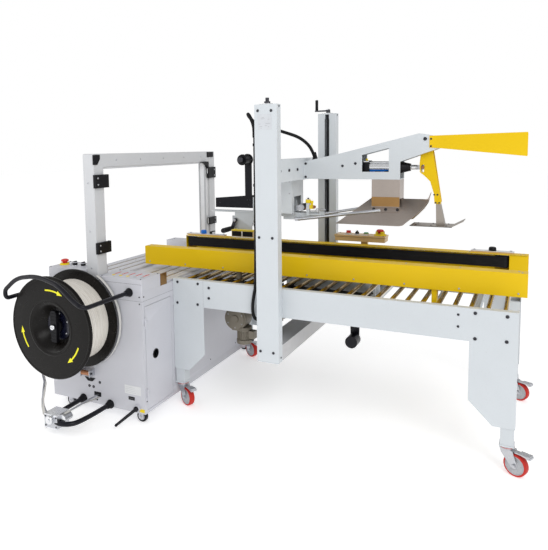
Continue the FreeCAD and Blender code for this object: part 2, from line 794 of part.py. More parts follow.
def flap_wings():
    """Two guide wings at the boom tip that hold the side flaps open."""
    plan = new_body("wing_plan")
    pad_between(plan, "wing_plan_sheet", "XY", Size(1350, "1350"), Size(1500, "1500"), polygon([
        (1288, 391), (1330, 391), (1728, 336), (1728, 339), (1330, 394), (1288, 394)]))
    side = new_body("wing_side")
    pad_between(side, "wing_side_sheet", "XZ", Size(300, "300"), Size(420, "420"), polygon([
        (1288, 1413), (1329, 1410), (1728, 1367.5), (1728, 1478), (1288, 1472)]))
    wing = doc.addObject("Part::MultiCommon", "near_wing")
    wing.Shapes = [plan, side]
    return finish(group("wings", [wing, mirrored(wing, "far_wing")]), "flap_wings")


def ski_plate():
    """The flap plough: two sloping plates that meet on a ridge, and the bracket above them."""
    plate = new_body("plough_half")
    pad_between(plate, "plough_sheet", "XY", Size(0, "0"), Size(3, "3"), polygon([
        (836, 0), (1160, 0), (1180, 6), (1213, 53), (1251, 112), (1276, 164), (1286, 195.2),
        (986, 195.2)]))
    pad_between(plate, "plough_foot", "XY", Size(3, "3"), Size(6, "6"), rectangle(1000, 92, 1145, 126))
    plate.Placement = FreeCAD.Placement(
        FreeCAD.Vector(0, worth(S["ski_edge"]), worth(S["ski_bottom"])),
        FreeCAD.Rotation(FreeCAD.Vector(1, 0, 0), worth(S["ski_slope"])))
    bind(plate, "Placement.Base.y", S["ski_edge"])
    bind(plate, "Placement.Base.z", S["ski_bottom"])
    bind(plate, "Placement.Rotation.Angle", S["ski_slope"])
    tip = new_body("plough_tip")
    pad_between(tip, "plough_tip_sheet", "XZ", MIDDLE - 6, MIDDLE + 6, polygon([
        (1262, 1142), (1284, 1147), (1294, 1184), (1291, 1184), (1278, 1152), (1262, 1148)]))
    wall = block("bracket_wall_near", 1000, 394, 1103, 1145, 397, S["boom_bottom"])
    end = block("bracket_end", 1142, 394, 1150, 1145, 504, S["boom_bottom"])
    top = block("bracket_top", 1000, 394, S["boom_bottom"] - 4, 1145, 504, S["boom_bottom"])
    things = [plate, mirrored(plate, "plough_half_far"), tip, wall,
              mirrored(wall, "bracket_wall_far"), end, top]
    return finish(joined("plough", things), "ski_plate")


def flap_rods():
    """Two folding rods that bring the side flaps down, on one cross bar under the tape head."""
    start = FreeCAD.Vector(593, 372, 1026)
    along = FreeCAD.Vector(1081, 220, 1107) - start
    bar = doc.addObject("Part::Cylinder", "near_rod")
    bar.Placement = FreeCAD.Placement(
        start, FreeCAD.Rotation(FreeCAD.Vector(0, 0, 1), along))
    bar.Radius = 8
    bar.Height = along.Length
    tip = doc.addObject("Part::Sphere", "near_rod_tip")
    tip.Placement.Base = start + along
    tip.Radius = 8
    near = joined("near_rod_whole", [bar, tip])
    carrier = block("rod_carrier", 580, 362, 1018, 604, 536, 1035)
    return finish(joined("folding_rods", [near, mirrored(near, "far_rod"), carrier]), "flap_rods")


def top_tape_head():
    """The upper tape cassette with its hood, guide tail and blade."""
    outer = block("hood_outer", 430, 360, 1057, 565, 538, S["beam_bottom"])
    inner = block("hood_inner", 433, 363, 1057, 562, 535, S["beam_bottom"] - 3)
    notch = block("hood_notch", 560, 396, 1057, 566, 502, 1150)
    hood = minus("hood", outer, joined("hood_cuts", [inner, notch]))
    cheek = new_body("upper_cheek")
    pad_between(cheek, "upper_cheek_plate", "XZ", Size(411, "411"), Size(415, "415"), polygon([
        (300, 1035), (712, 1035), (712, 1060), (556, 1060), (540, 1140), (300, 1140)]))
    pocket_between(cheek, "upper_cheek_hole", "XZ", Size(410, "410"), Size(416, "416"),
                   circle(520, 1075, 6))
    tail = new_body("guide_tail")
    pad_between(tail, "guide_tail_plate", "XZ", Size(440, "440"), Size(458, "458"), polygon([
        (165, 1045), (165, 1020), (262, 962), (276, 962), (300, 1035), (330, 1045)]))
    things = [
        hood,
        cheek,
        mirrored(cheek, "upper_cheek_far"),
        rod("cassette_bar", "Y", 470, 362, 1115, 8, 174),
        rod("cassette_bar_back", "Y", 340, 411, 1100, 8, 76),
        block("pressure_plate", 7, 436, 1045, 345, 487, 1053),
        block("cassette_bridge", 300, 411, 1045, 345, 487, 1060),
        block("tape_blade", 492, 411, 1019, 560, 487, 1045),
        tail,
        block("front_post", 636, 393, 1045, 654, 411, 1118),
        rod("front_knob", "Z", 645, 402, 1118, 13, 20),
        block("front_rail", 640, 393, 1050, 712, 411, 1058),
    ]
    return finish(joined("upper_head", things), "top_tape_head")


def top_roller_arm():
    """The roller arm that presses the tape down; it swings on a pin in the cassette."""
    cheek = new_body("roller_cheek")
    pad_between(cheek, "roller_cheek_plate", "XZ", Size(404, "404"), Size(410.5, "410.5"), polygon([
        (506, 1064), (524, 1062), (612, 1077), (612, 1101), (596, 1104), (506, 1088)]))
    things = [
        cheek,
        mirrored(cheek, "roller_cheek_far"),
        rod("roller_pivot", "Y", 520, 404, 1075, 5.6, 90),
        rod("pressure_roller", "Y", 600, 408, 1089, 19, 82),
    ]
    return finish(joined("roller_arm", things), "top_roller_arm")


def tape_roll_arm():
    """The black arm that carries the tape roll over the outfeed end of the cassette."""
    plate = new_body("tape_arm_base")
    pad_between(plate, "tape_arm_base_plate", "XZ", Size(487, "487"), Size(495, "495"), polygon([
        (10, 1066), (345, 1066), (345, 1140), (262, 1145), (10, 1124)]))
    arm = new_body("tape_arm_upright")
    pad_between(arm, "tape_arm_upright_plate", "XZ", Size(487, "487"), Size(497, "497"), polygon([
        (213, 1100), (256, 1100), (256, 1375), (246, 1388), (223, 1388), (213, 1375)]))
    spindle = rod("tape_spindle", "Y", 235, 404, 1357, 9, 88)
    washer = rod("tape_spindle_end", "Y", 235, 398, 1357, 13, 6)
    return finish(joined("tape_arm", [plate, arm, spindle, washer]), "tape_roll_arm")


def tape_mandrel():
    """The turning core that a tape roll is pushed on."""
    body = new_body("mandrel_body")
    gap = S["run_gap"]
    turned(body, "mandrel_profile", "XY", [
        (9 + gap, 404.5), (31, 404.5), (31, 409), (28, 411), (28, 478), (35, 479),
        (35, 486.5), (9 + gap, 486.5)], across=235, height=1357)
    return finish(body, "tape_mandrel")


def air_cylinder():
    """The air cylinder inside the boom, held by a cross pin at its back."""
    z = S["cylinder_height"]
    barrel = joined("cylinder_case", [
        rod("barrel", "X", 976, MIDDLE, z, 32, 132),
        block("rear_cap", 949, MIDDLE - 35, z - 35, 980, MIDDLE + 35, z + 35),
        block("front_cap", 1104, MIDDLE - 35, z - 35, 1134, MIDDLE + 35, z + 35),
        taper("nose", "X", 1134, MIDDLE, z, 31, 17, 58),
        block("rear_lug", 897, MIDDLE - 14, z - 14, 949, MIDDLE + 14, z + 14),
        rod("rear_pin", "Y", 911, 398, z, 8, 102),
    ])
    hollow = joined("cylinder_hollow", [
        rod("bore", "X", 980, MIDDLE, z, 28, 124),
        rod("rod_bore", "X", 1100, MIDDLE, z, 8.3, 110),
    ])
    return finish(minus("cylinder", barrel, hollow), "air_cylinder")


def cylinder_rod():
    """The piston rod with the eye and cross pin that moves the kicker."""
    z = S["cylinder_height"]
    things = [
        rod("piston", "X", 990, MIDDLE, z, 27.7, 15),
        rod("piston_rod", "X", 1000, MIDDLE, z, 8, 222),
        rod("rod_nut", "X", 1200, MIDDLE, z, 12, 24),
        block("rod_eye", 1216, MIDDLE - 6, z - 12, 1264, MIDDLE + 6, z + 12),
        rod("eye_pin", "Y", 1253, MIDDLE - 30, z, 5, 60),
    ]
    return finish(joined("piston_set", things), "cylinder_rod")


def kicker_arm():
    """The kicker that folds the trailing flap: two slotted cheeks, a stem and a shoe."""
    px = S["kicker_pivot_x"]
    pz = S["kicker_pivot_z"]
    cheek = new_body("kicker_cheek")
    pad_between(cheek, "kicker_cheek_plate", "XZ", Size(424, "424"), Size(430, "430"), polygon([
        (px - 13, pz + 6), (px - 6, pz + 13), (px + 8, pz + 12), (px + 14, pz + 4), (1302, 1387),
        (1343, 1137), (1313, 1128), (1309, 1180), (1290, 1242), (1262, 1270), (1239, 1288),
        (1237, 1335), (1243, 1385)]))
    slot_top = (px - 14.5, pz - 139)
    slot_low = (px - 16.8, pz - 161)
    pocket_between(cheek, "kicker_slot", "XZ", Size(423, "423"), Size(431, "431"), polygon([
        (slot_top[0] - 7.6, slot_top[1] + 5), (slot_top[0] - 4, slot_top[1] + 9),
        (slot_top[0] + 4, slot_top[1] + 9), (slot_top[0] + 7.6, slot_top[1] + 5),
        (slot_low[0] + 7.6, slot_low[1] - 5), (slot_low[0] + 4, slot_low[1] - 9),
        (slot_low[0] - 4, slot_low[1] - 9), (slot_low[0] - 7.6, slot_low[1] - 5)]))
    stem = new_body("kicker_stem")
    pad_between(stem, "kicker_stem_plate", "XZ", Size(430, "430"), Size(468, "468"), polygon([
        (1315, 1205), (1329, 1205), (1341, 1127), (1365, 1020), (1322, 1020), (1319, 1127)]))
    shoe = new_body("kicker_shoe")
    pad_between(shoe, "kicker_shoe_sheet", "XZ", Size(389, "389"), Size(509, "509"), polygon([
        (1200, 1017), (1402, 1017), (1455, 1046), (1453, 1049), (1401, 1020), (1200, 1020)]))
    tube = rod("kicker_tube", "Y", px, 400, pz, 15, 98)
    whole = joined("kicker_whole", [cheek, mirrored(cheek, "kicker_cheek_far"), stem, shoe, tube])
    bore = rod("kicker_bore", "Y", px, 399, pz, 8.3, 100)
    return finish(minus("kicker", whole, bore), "kicker_arm")


def screw_cranks():
    """Both lifting screws; the near one ends in a knob, the far one in a hand crank."""
    x = S["mast_start"] + S["mast_width"] / 2
    y = -S["mast_depth"] / 2
    top = S["mast_top"]
    near = joined("near_screw", [
        rod("near_screw_bar", "Z", x, y, 480, S["screw_radius"], top + 10 - 480),
        rod("near_screw_hub", "Z", x, y, top + 0.5, 15, 14),
        rod("near_screw_knob", "Z", x, y, top + 14, 9, 18)])
    finish(near, "near_screw_crank")
    far_y = S["bed_width"] + S["mast_depth"] / 2
    arm = new_body("far_crank_arm")
    pad_between(arm, "far_crank_arm_plate", "XY", top + 14, top + 22, polygon([
        (506, far_y - 9), (x + 2, far_y - 13), (x + 12, far_y), (x + 2, far_y + 13),
        (506, far_y + 9)]))
    far = joined("far_screw", [
        rod("far_screw_bar", "Z", x, far_y, 480, S["screw_radius"], top + 10 - 480),
        rod("far_screw_hub", "Z", x, far_y, top + 0.5, 13, 24),
        arm,
        rod("far_crank_grip", "Z", 516, far_y, top + 20, 8.5, 68)])
    return finish(far, "far_screw_crank")


# ---------------------------------------------------------------- hoses

def hoses():
    """The cable hose down the column into the bed, and its free loop from column to boom."""
    column = hose_tube("column_hose_tube", [
        (521, -22, 1480), (521, -22, 745), (502, -22, 668), (495, -22, 604), (501, -15, 553),
        (518, 26, 536), (530, 95, 541)], 9)
    finish(column, "column_hose")
    loop = hose_tube("head_hose_tube", [
        (521, -22, 1481), (518, -22, 1530), (488, -6, 1582), (450, 45, 1600), (432, 108, 1580),
        (452, 162, 1546), (518, 192, 1526), (588, 224, 1502), (632, 290, 1480), (655, 355, 1448),
        (667, 410, 1408), (669, 449, 1362)], 9)
    return finish(loop, "head_hose")


# ---------------------------------------------------------------- strapping machine

def strapper_cabinet():
    """The strapper's sheet cabinet: a base on wheel forks and one panel for each other side."""
    x0 = S["cabinet_start"]
    x1 = S["cabinet_end"]
    y0 = S["cabinet_front"]
    y1 = S["cabinet_back"]
    z0 = S["cabinet_bottom"]
    z1 = S["cabinet_top"]
    wall = S["cabinet_gauge"]
    sill = 103
    opening = block("door_opening", x1 - 10, y0 + 19.5, 72, x1 + 10, y0 + 263.5, 624)
    skirt = minus("cabinet_skirt", block("skirt_outer", x0, y0, z0, x1, y1, sill), joined("skirt_cuts", [
        block("skirt_inner", x0 + wall, y0 + wall, z0, x1 - wall, y1 - wall, sill), opening]))
    things = [skirt, block("cabinet_floor", x0 + wall, y0 + wall, 100, x1 - wall, y1 - wall, sill)]
    for index, (x, y) in enumerate(STRAPPER_WHEELS):
        for side in (-16, 13):
            things.append(block("fork%d_%d" % (index, side + 16), x - 14, y + side, 20,
                                x + 14, y + side + 3, 100))
        things.append(rod("fork_axle%d" % index, "Y", x, y - 16, S["strapper_wheel_radius"], 5, 32))
    things.append(minus("lever_cup", rod("lever_cup_outer", "Y", LEVER_BALL.x, y0 - 13.5,
                                         LEVER_BALL.z, 19, 13.5),
                        ball("lever_cup_inner", LEVER_BALL, 14.3)))
    base = joined("cabinet_base", things)
    front = joined("front_panel", [
        block("front_sheet", x0, y0, sill, x1, y0 + wall, z1),
        rod("reel_shaft", "Y", S["reel_x"], -468, S["reel_z"], 12.5, 185.5),
        rod("reel_boss", "Y", S["reel_x"], -302, S["reel_z"], 42, 18)])
    door_side = joined("door_panel", [
        minus("door_sheet_frame", block("door_side_sheet", x1 - wall, y0 + wall, sill,
                                        x1, y1 - wall, z1), opening)] + cabinet_hinges())
    far_end = block("outfeed_panel", x0, y0 + wall, sill, x0 + wall, y1 - wall, z1)
    back = block("back_panel", x0, y1 - wall, sill, x1, y1, z1)
    top = block("top_panel", x0 + wall, y0 + wall, z1 - wall, x1 - wall, y1 - wall, z1)
    return finish(group("cabinet", [base, front, door_side, far_end, back, top]), "strapper_cabinet")


STRAPPER_WHEELS = [(-42, -256), (-525, -256), (-42, 955), (-525, 955)]
LEVER_BALL = FreeCAD.Vector(-50, -301, 82)
LEVER_TIP = FreeCAD.Vector(-101, -403, 30)


DOOR_HINGES = (155, 535)


def hinge_knuckle(name, low, high):
    """A piece of a door hinge barrel on the hinge axis."""
    return rod(name, "Z", S["cabinet_end"] + 4.5, S["cabinet_front"] + 19.5, low, 4.2, high - low)


def cabinet_hinges():
    """The fixed half of both door hinges, with their pins."""
    x1 = S["cabinet_end"]
    y0 = S["cabinet_front"]
    things = []
    for index, z in enumerate(DOOR_HINGES):
        mark = "hinge%d_" % index
        things.append(hinge_knuckle(mark + "low", z - 30, z - 10.3))
        things.append(hinge_knuckle(mark + "high", z + 10.3, z + 30))
        things.append(rod(mark + "pin", "Z", x1 + 4.5, y0 + 19.5, z - 12, 2, 24))
        things.append(block(mark + "leaf_low", x1, y0 + 3, z - 30, x1 + 2.5, y0 + 18, z - 10.3))
        things.append(block(mark + "leaf_high", x1, y0 + 3, z + 10.3, x1 + 2.5, y0 + 18, z + 30))
    return things


def foot_lever():
    """The black foot lever: a ball in the cup on the cabinet and a tapered bar with a round tip."""
    along = LEVER_TIP - LEVER_BALL
    bar = doc.addObject("Part::Cone", "lever_bar")
    bar.Placement = FreeCAD.Placement(
        LEVER_BALL, FreeCAD.Rotation(FreeCAD.Vector(0, 0, 1), along))
    bar.Radius1 = 9
    bar.Radius2 = 7
    bar.Height = along.Length
    return finish(joined("lever", [
        bar, ball("lever_ball", LEVER_BALL, 14), ball("lever_tip", LEVER_TIP, 8)]), "foot_lever")


def cabinet_door():
    """The service door in the end face, with its round cable hole and its hinge knuckles."""
    x1 = S["cabinet_end"]
    y0 = S["cabinet_front"]
    body = new_body("door_body")
    pad_between(body, "door_sheet", "YZ", x1 - 3, x1, rectangle(y0 + 21.5, 74, y0 + 261.5, 622))
    pocket_between(body, "door_hole", "YZ", x1 - 4, x1 + 1, circle(-179, 350, 23))
    things = [body]
    bores = []
    for index, z in enumerate(DOOR_HINGES):
        mark = "door_hinge%d_" % index
        things.append(hinge_knuckle(mark + "knuckle", z - 10, z + 10))
        things.append(block(mark + "leaf", x1, y0 + 21.7, z - 10, x1 + 2.5, y0 + 48, z + 10))
        bores.append(rod(mark + "bore", "Z", x1 + 4.5, y0 + 19.5, z - 11, 2.3, 22))
    door = minus("door", joined("door_whole", things), joined("door_bores", bores))
    return finish(door, "cabinet_door")


def strapper_table():
    """Slats of the strapper table, the front lid box, the console and the rear box."""
    x0 = S["cabinet_start"]
    x1 = S["cabinet_end"]
    y0 = S["cabinet_front"]
    z1 = S["cabinet_top"]
    top = S["table_top"]
    lid = new_body("lid_box")
    lid_pad = pad_between(lid, "lid_block", "XY", z1, S["lid_top"], rectangle(-273, y0, x1, -115))
    round_edges(lid, "lid_rounding", lid_pad, 4, lambda edge: runs_along(edge, "z"))
    pocket_between(lid, "lid_hollow", "XY", z1 - 1, S["lid_top"] - 3,
                   rectangle(-267, y0 + 6, x1 - 6, -121))
    console = new_body("console_box")
    console_pad = pad_between(console, "console_block", "XY", z1, S["console_top"],
                              rectangle(x0, y0, -353, -115))
    round_edges(console, "console_rounding", console_pad, 4, lambda edge: runs_along(edge, "z"))
    pocket_between(console, "console_hollow", "XY", z1 - 1, S["console_top"] - 3,
                   rectangle(x0 + 6, y0 + 6, -359, -121))
    slats = new_body("slats")
    slat = pad_between(slats, "slat", "XY", z1, top, rectangle(-276, -112, -224, 878))
    repeat(slats, "slat_row", [slat], S["roller_pitch"], 4)
    outer_slats = new_body("outer_slats")
    outer_slat = pad_between(outer_slats, "outer_slat", "XY", z1, top,
                             rectangle(x0 + 1, -112, x0 + 53, 878))
    repeat(outer_slats, "outer_slat_row", [outer_slat], S["roller_pitch"], 4)
    things = [
        lid,
        console,
        slats,
        outer_slats,
        minus("rear_box", block("rear_box_outer", x0, 882, z1, x1, S["cabinet_back"], S["lid_top"]),
              block("rear_box_inner", x0 + 3, 885, z1 - 1, x1 - 3, S["cabinet_back"] - 3,
                    S["lid_top"] - 3)),
        minus("red_base", rod("red_base_outer", "Z", -590, -200, S["console_top"], 24, 8),
              rod("red_base_inner", "Z", -590, -200, S["console_top"], 14, 8)),
        rod("silver_switch", "Z", -545, -200, S["console_top"], 8, 12),
        rod("black_switch_a", "Z", -515, -200, S["console_top"], 13, 20),
        rod("black_switch_b", "Z", -456, -200, S["console_top"], 13, 20),
    ]
    return finish(group("table", things), "strapper_table")


def arch_frame():
    """The strap arch: two posts and a beam with rounded outer corners."""
    x0 = S["arch_middle"] - S["arch_width"] / 2
    x1 = x0 + S["arch_width"]
    y0 = S["cabinet_front"]
    y1 = S["cabinet_back"]
    base = S["lid_top"]
    top = S["arch_top"]
    body = new_body("arch_body")
    ring = pad_between(body, "arch_ring", "YZ", x0, x1, polygon([
        (y0, S["cabinet_top"]), (y0 + S["arch_post"], S["cabinet_top"]),
        (y0 + S["arch_post"], top - S["arch_beam"]), (y1 - S["arch_post"], top - S["arch_beam"]),
        (y1 - S["arch_post"], base), (y1, base), (y1, top), (y0, top)]))
    round_edges(body, "arch_rounding", ring, 8,
                lambda edge: runs_along(edge, "x") and abs(edge.BoundBox.ZMax - worth(top)) < 0.01)
    post = S["arch_post"]
    beam = top - S["arch_beam"]
    pocket_between(body, "arch_hollow", "YZ", x0 + 4, x1 - 4, polygon([
        (y0 + 4, S["cabinet_top"] - 1), (y0 + post - 4, S["cabinet_top"] - 1),
        (y0 + post - 4, beam + 4), (y1 - post + 4, beam + 4), (y1 - post + 4, base - 1),
        (y1 - 4, base - 1), (y1 - 4, top - 4), (y0 + 4, top - 4)]))
    return finish(body, "arch_frame")


def arch_tracks():
    """The strap track inside the arch and the clamps around it."""
    x0 = S["arch_middle"] - 26
    x1 = S["arch_middle"] + 26
    y0 = S["cabinet_front"] + S["arch_post"]
    y1 = S["cabinet_back"] - S["arch_post"]
    z1 = S["arch_top"] - S["arch_beam"]
    low = S["cabinet_top"]
    body = new_body("track_body")
    pad_between(body, "track_ring", "YZ", x0, x1, polygon([
        (y0, low), (y0 + 9, low), (y0 + 9, z1 - 9), (y1 - 38, z1 - 9), (y1 - 38, low + 67),
        (y1, low + 67), (y1, z1), (y0, z1)]))
    things = [body]
    for name, z, depth in (("upper", 1248, 6), ("lower", 885, 6)):
        things.append(block("near_clamp_" + name, x1 + 9.5, y0 - 60, z, x1 + 14, y0 + 8, z + 48))
    for name, z in (("upper", 1255), ("lower", 900)):
        things.append(block("far_clamp_" + name, x1 + 9.5, y1 - 30, z, x1 + 14, y1 + 50, z + 40))
    return finish(group("tracks", things), "arch_tracks")


def socket(name, x, y, z, radius):
    """A rubber socket on the cabinet face where a tube leaves it."""
    return taper(name, "Y", x, y - 16, z, radius + 3, radius + 8, 16)


GUARD_LINE = [(-79, S["cabinet_front"], 696), (-79, S["guard_front"], 696),
              (-150, S["guard_front"] + 8, 726), (-245, S["guard_front"] + 18, 790),
              (-400, S["guard_front"] + 35, 818), (-555, S["guard_front"] + 51, 790),
              (-655, S["guard_front"] + 62, 716), (-650, S["guard_front"] + 62, 674), (-643, -222, 674)]
BUMPER_LINE = [(-415, S["cabinet_front"], 70), (-415, -500, 70), (-360, -568, 70),
               (-285, -568, 70), (-230, -500, 70), (-230, S["cabinet_front"], 70)]


def tubes():
    """The guard tube around the strap reel and the bumper tube under it."""
    face = S["cabinet_front"]
    guard = hose_tube("guard_tube", GUARD_LINE, worth(S["guard_radius"]))
    finish(joined("guard", [
        guard, socket("guard_socket", -79, face, 696, S["guard_radius"]),
        block("guard_clamp", -657, -262, 660, S["cabinet_start"], -236, 688),
    ]), "reel_guard_tube")
    bumper = bent_tube("bumper", BUMPER_LINE, S["bumper_radius"], 30)
    return finish(joined("bumper_whole", [
        bumper, socket("bumper_socket_a", -415, face, 70, S["bumper_radius"]),
        socket("bumper_socket_b", -230, face, 70, S["bumper_radius"])]), "bumper_tube")


def reel():
    """The strap reel: hub, web, drum and two rimmed flanges, with a deep recess in front."""
    body = new_body("reel_body")
    front = S["reel_front"]
    back = S["reel_back"]
    rim = S["reel_radius"]
    drum = S["drum_radius"]
    bore = 12.5 + S["run_gap"]
    turned(body, "reel_profile", "XY", [
        (bore, front + 62), (74, front + 62), (120, front + 6), (134, front), (rim - 8, front),
        (rim, front + 5), (rim, front + 12), (rim - 8, front + 14), (drum, front + 14),
        (drum, back - 14), (rim - 8, back - 14), (rim, back - 12), (rim, back - 5),
        (rim - 8, back), (drum - 8, back), (drum - 8, front + 14), (128, front + 14),
        (80, front + 68), (24, front + 68), (24, back), (bore, back)],
        across=S["reel_x"], height=S["reel_z"])
    return finish(body, "reel")


def strap_coil():
    """The strap that is wound on the reel."""
    body = new_body("coil_body")
    turned(body, "coil_profile", "XY", [
        (S["drum_radius"], S["reel_front"] + 14), (S["coil_radius"], S["reel_front"] + 14),
        (S["coil_radius"], S["reel_back"] - 14), (S["drum_radius"], S["reel_back"] - 14),
    ], across=S["reel_x"], height=S["reel_z"])
    return finish(body, "strap_coil")


def reel_lock_knob():
    """The T handle on the end of the reel shaft."""
    x = S["reel_x"]
    z = S["reel_z"]
    bar = new_body("lock_bar")
    pad_between(bar, "lock_bar_block", "XZ", Size(-500, "(0 - 500)"), Size(-478, "(0 - 478)"),
                polygon([(x - 17, z - 80), (x + 17, z - 80), (x + 22, z + 70), (x + 12, z + 84),
                         (x - 12, z + 84), (x - 22, z + 70)]))
    things = [bar, rod("lock_hub", "Y", x, -480, z, 32, 12), rod("lock_bolt", "Y", x, -507, z, 12, 8)]
    return finish(joined("lock_knob", things), "reel_lock_knob")


def band(points, thickness):
    """The outline of a thin band that follows a line of points."""
    left = []
    for index, (u, v) in enumerate(points):
        before = points[max(index - 1, 0)]
        after = points[min(index + 1, len(points) - 1)]
        run = math.hypot(after[0] - before[0], after[1] - before[1])
        left.append((u - (after[1] - before[1]) / run * thickness,
                     v + (after[0] - before[0]) / run * thickness))
    return points + left[::-1]


def strap_run():
    """The strap from the coil to its guide on the bumper tube, the guide and the inlet roller."""
    face = S["cabinet_front"]
    fall = new_body("strap_fall")
    pad_between(fall, "strap_fall_band", "XZ", Size(-454, "(0 - 454)"), Size(-438, "(0 - 438)"),
                polygon(band([(-609.5, 480), (-538, 205), (-552, 140), (-557, 100), (-554, 62),
                              (-540, 36), (-514, 24), (-480, 21), (-431, 24)], 1)))
    channel = bent_tube("guide_channel", BUMPER_LINE, S["bumper_radius"] + S["run_gap"], 30)
    housing = minus("guide_housing", joined("guide_housing_block", [
        block("guide_housing_body", -407, -584, 38, -322, -500, 112),
        rod("guide_pulley", "Y", -308, -560, 92, 20, 48),
        block("guide_pulley_arm", -330, -552, 86, -308, -544, 98)]), channel)
    plate = joined("guide_inlet", [
        block("guide_inlet_plate", -430, -560, 42, -407, -436, 48),
        rod("guide_inlet_roller", "Y", -419, -560, 33, 10, 124)])
    things = [
        fall,
        housing,
        plate,
        block("strap_back", -316, -512, 111, -300, face, 112),
        rod("inlet_roller", "X", -392, -316, 232, 13, 58),
        block("inlet_bracket_a", -396, -330, 214, -392, face, 250),
        block("inlet_bracket_b", -334, -330, 214, -330, face, 250),
    ]
    return finish(group("strap_path", things), "strap_run")


# ---------------------------------------------------------------- casters

BED_CORNERS = [
    ("outfeed_near", "near", "near"),
    ("infeed_near", "far", "near"),
    ("outfeed_far", "near", "far"),
    ("infeed_far", "far", "far"),
]


def corner_place(along, across):
    """The swivel axis of one bed caster."""
    half = S["panel_gauge"] + S["post_side"] / 2
    x = half if along == "near" else S["bed_length"] - half
    y = half if across == "near" else S["bed_width"] - half
    return x, y


def stand_at_corner(thing, label, along, across):
    """Turn a caster piece to its parking angle under its own leg."""
    x, y = corner_place(along, across)
    thing.Label = label
    thing.Placement = FreeCAD.Placement(
        FreeCAD.Vector(0, 0, 0),
        FreeCAD.Rotation(FreeCAD.Vector(0, 0, 1), worth(S["caster_angle"])))
    bind(thing, "Placement.Base.x", x - S["origin_x"])
    bind(thing, "Placement.Base.y", y - S["origin_y"])
    bind(thing, "Placement.Rotation.Angle", S["caster_angle"])
    nodes.append(thing)


def caster(name, along, across):
    """One swivel caster with a brake pedal: the yoke and its wheel."""
    trail = S["caster_trail"]
    axle = S["caster_radius"]
    fork = new_body(name + "_fork")
    pad_between(fork, name + "_fork_plate", "XZ", Size(-20.5, "(0 - 20.5)"), Size(-17.5, "(0 - 17.5)"),
                polygon([(-22, 112), (34, 112), (trail + 14, axle + 4), (trail + 8, axle - 11),
                         (trail - 10, axle - 10), (-16, 92)]))
    things = [
        fork,
        mirrored(fork, name + "_fork_far", Size(0, "0")),
        block(name + "_crown", -22, -20.5, 106, 34, 20.5, 112),
        rod(name + "_ring", "Z", 0, 0, 112, 31, 11.7),
        rod(name + "_axle", "Y", trail, -24, axle, 6, 48),
        block(name + "_pedal", 30, -13, 104, 102, 13, 109),
        block(name + "_pedal_tip", 92, -17, 98, 106, 17, 112),
    ]
    stand_at_corner(joined(name + "_yoke_body", things), name + "_yoke", along, across)
    wheel = new_body(name + "_wheel_body")
    turned(wheel, name + "_tread", "XY", [
        (6.3, -17), (13, -17), (13, -12), (36, -12), (37, -16), (47, -16), (50, -12), (50, 12),
        (47, 16), (37, 16), (36, 12), (13, 12), (13, 17), (6.3, 17)],
        across=trail, height=axle)
    stand_at_corner(wheel, name + "_wheel", along, across)


def strapper_wheels():
    """The four wheels under the strapper cabinet."""
    for name, (x, y) in zip(("front_right", "front_left", "back_right", "back_left"), STRAPPER_WHEELS):
        body = new_body("strapper_wheel_" + name)
        radius = S["strapper_wheel_radius"]
        turned(body, "strapper_tread_" + name, "XY", [
            (5.3, y - 11), (radius - 3, y - 11), (radius, y - 8), (radius, y + 8),
            (radius - 3, y + 11), (5.3, y + 11)], across=x, height=radius)
        finish(body, "strapper_wheel_" + name)


def build():
    side_panels()
    leg_posts()
    bed_crossbars()
    bed_rollers()
    mast_columns()
    mast_base_beam()
    bottom_tape_head()
    control_box()
    push_button("stop_button", 760, 805, 899, 14, 16)
    push_button("start_button", 868, 805, 899, 14, 9)
    mushroom_button("emergency_button", 952, 805, 907)
    near_belt_cover()
    far_belt_cover()
    cover_fittings()
    side_belts()
    drive_motors()
    width_crank()
    head_beam()
    boom()
    flap_wings()
    ski_plate()
    flap_rods()
    top_tape_head()
    top_roller_arm()
    tape_roll_arm()
    tape_mandrel()
    air_cylinder()
    cylinder_rod()
    kicker_arm()
    screw_cranks()
    hoses()
    strapper_cabinet()
    foot_lever()
    cabinet_door()
    strapper_table()
    mushroom_button("strapper_emergency_button", -590, -200, 796)
    arch_frame()
    arch_tracks()
    tubes()
    reel()
    strap_coil()
    reel_lock_knob()
    strap_run()
    for corner in BED_CORNERS:
        caster(*corner)
    strapper_wheels()


def export():
    """Check every object, then write one STEP file per sub-part."""
    doc.recompute()
    for thing in doc.Objects:
        for word in ("Invalid", "Error"):
            if word in thing.State:
                raise RuntimeError("%s is %s" % (thing.Label, word))
    box = FreeCAD.BoundBox()
    for node in nodes:
        shape = node.Shape
        if shape.isNull() or not shape.isValid():
            raise RuntimeError("bad shape: " + node.Label)
        shape.exportStep("parts/" + node.Label + ".step")
        box.add(shape.BoundBox)
        print("%-28s %7.0f cm3  solids %d" % (node.Label, shape.Volume / 1000, len(shape.Solids)))
    print("sub-parts", len(nodes))
    print("box X %.1f..%.1f Y %.1f..%.1f Z %.1f..%.1f" % (
        box.XMin, box.XMax, box.YMin, box.YMax, box.ZMin, box.ZMax))


build()
export()
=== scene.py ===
from itertools import product
from math import cos, radians, sin

import bmesh
import bpy
from mathutils import Matrix, Vector


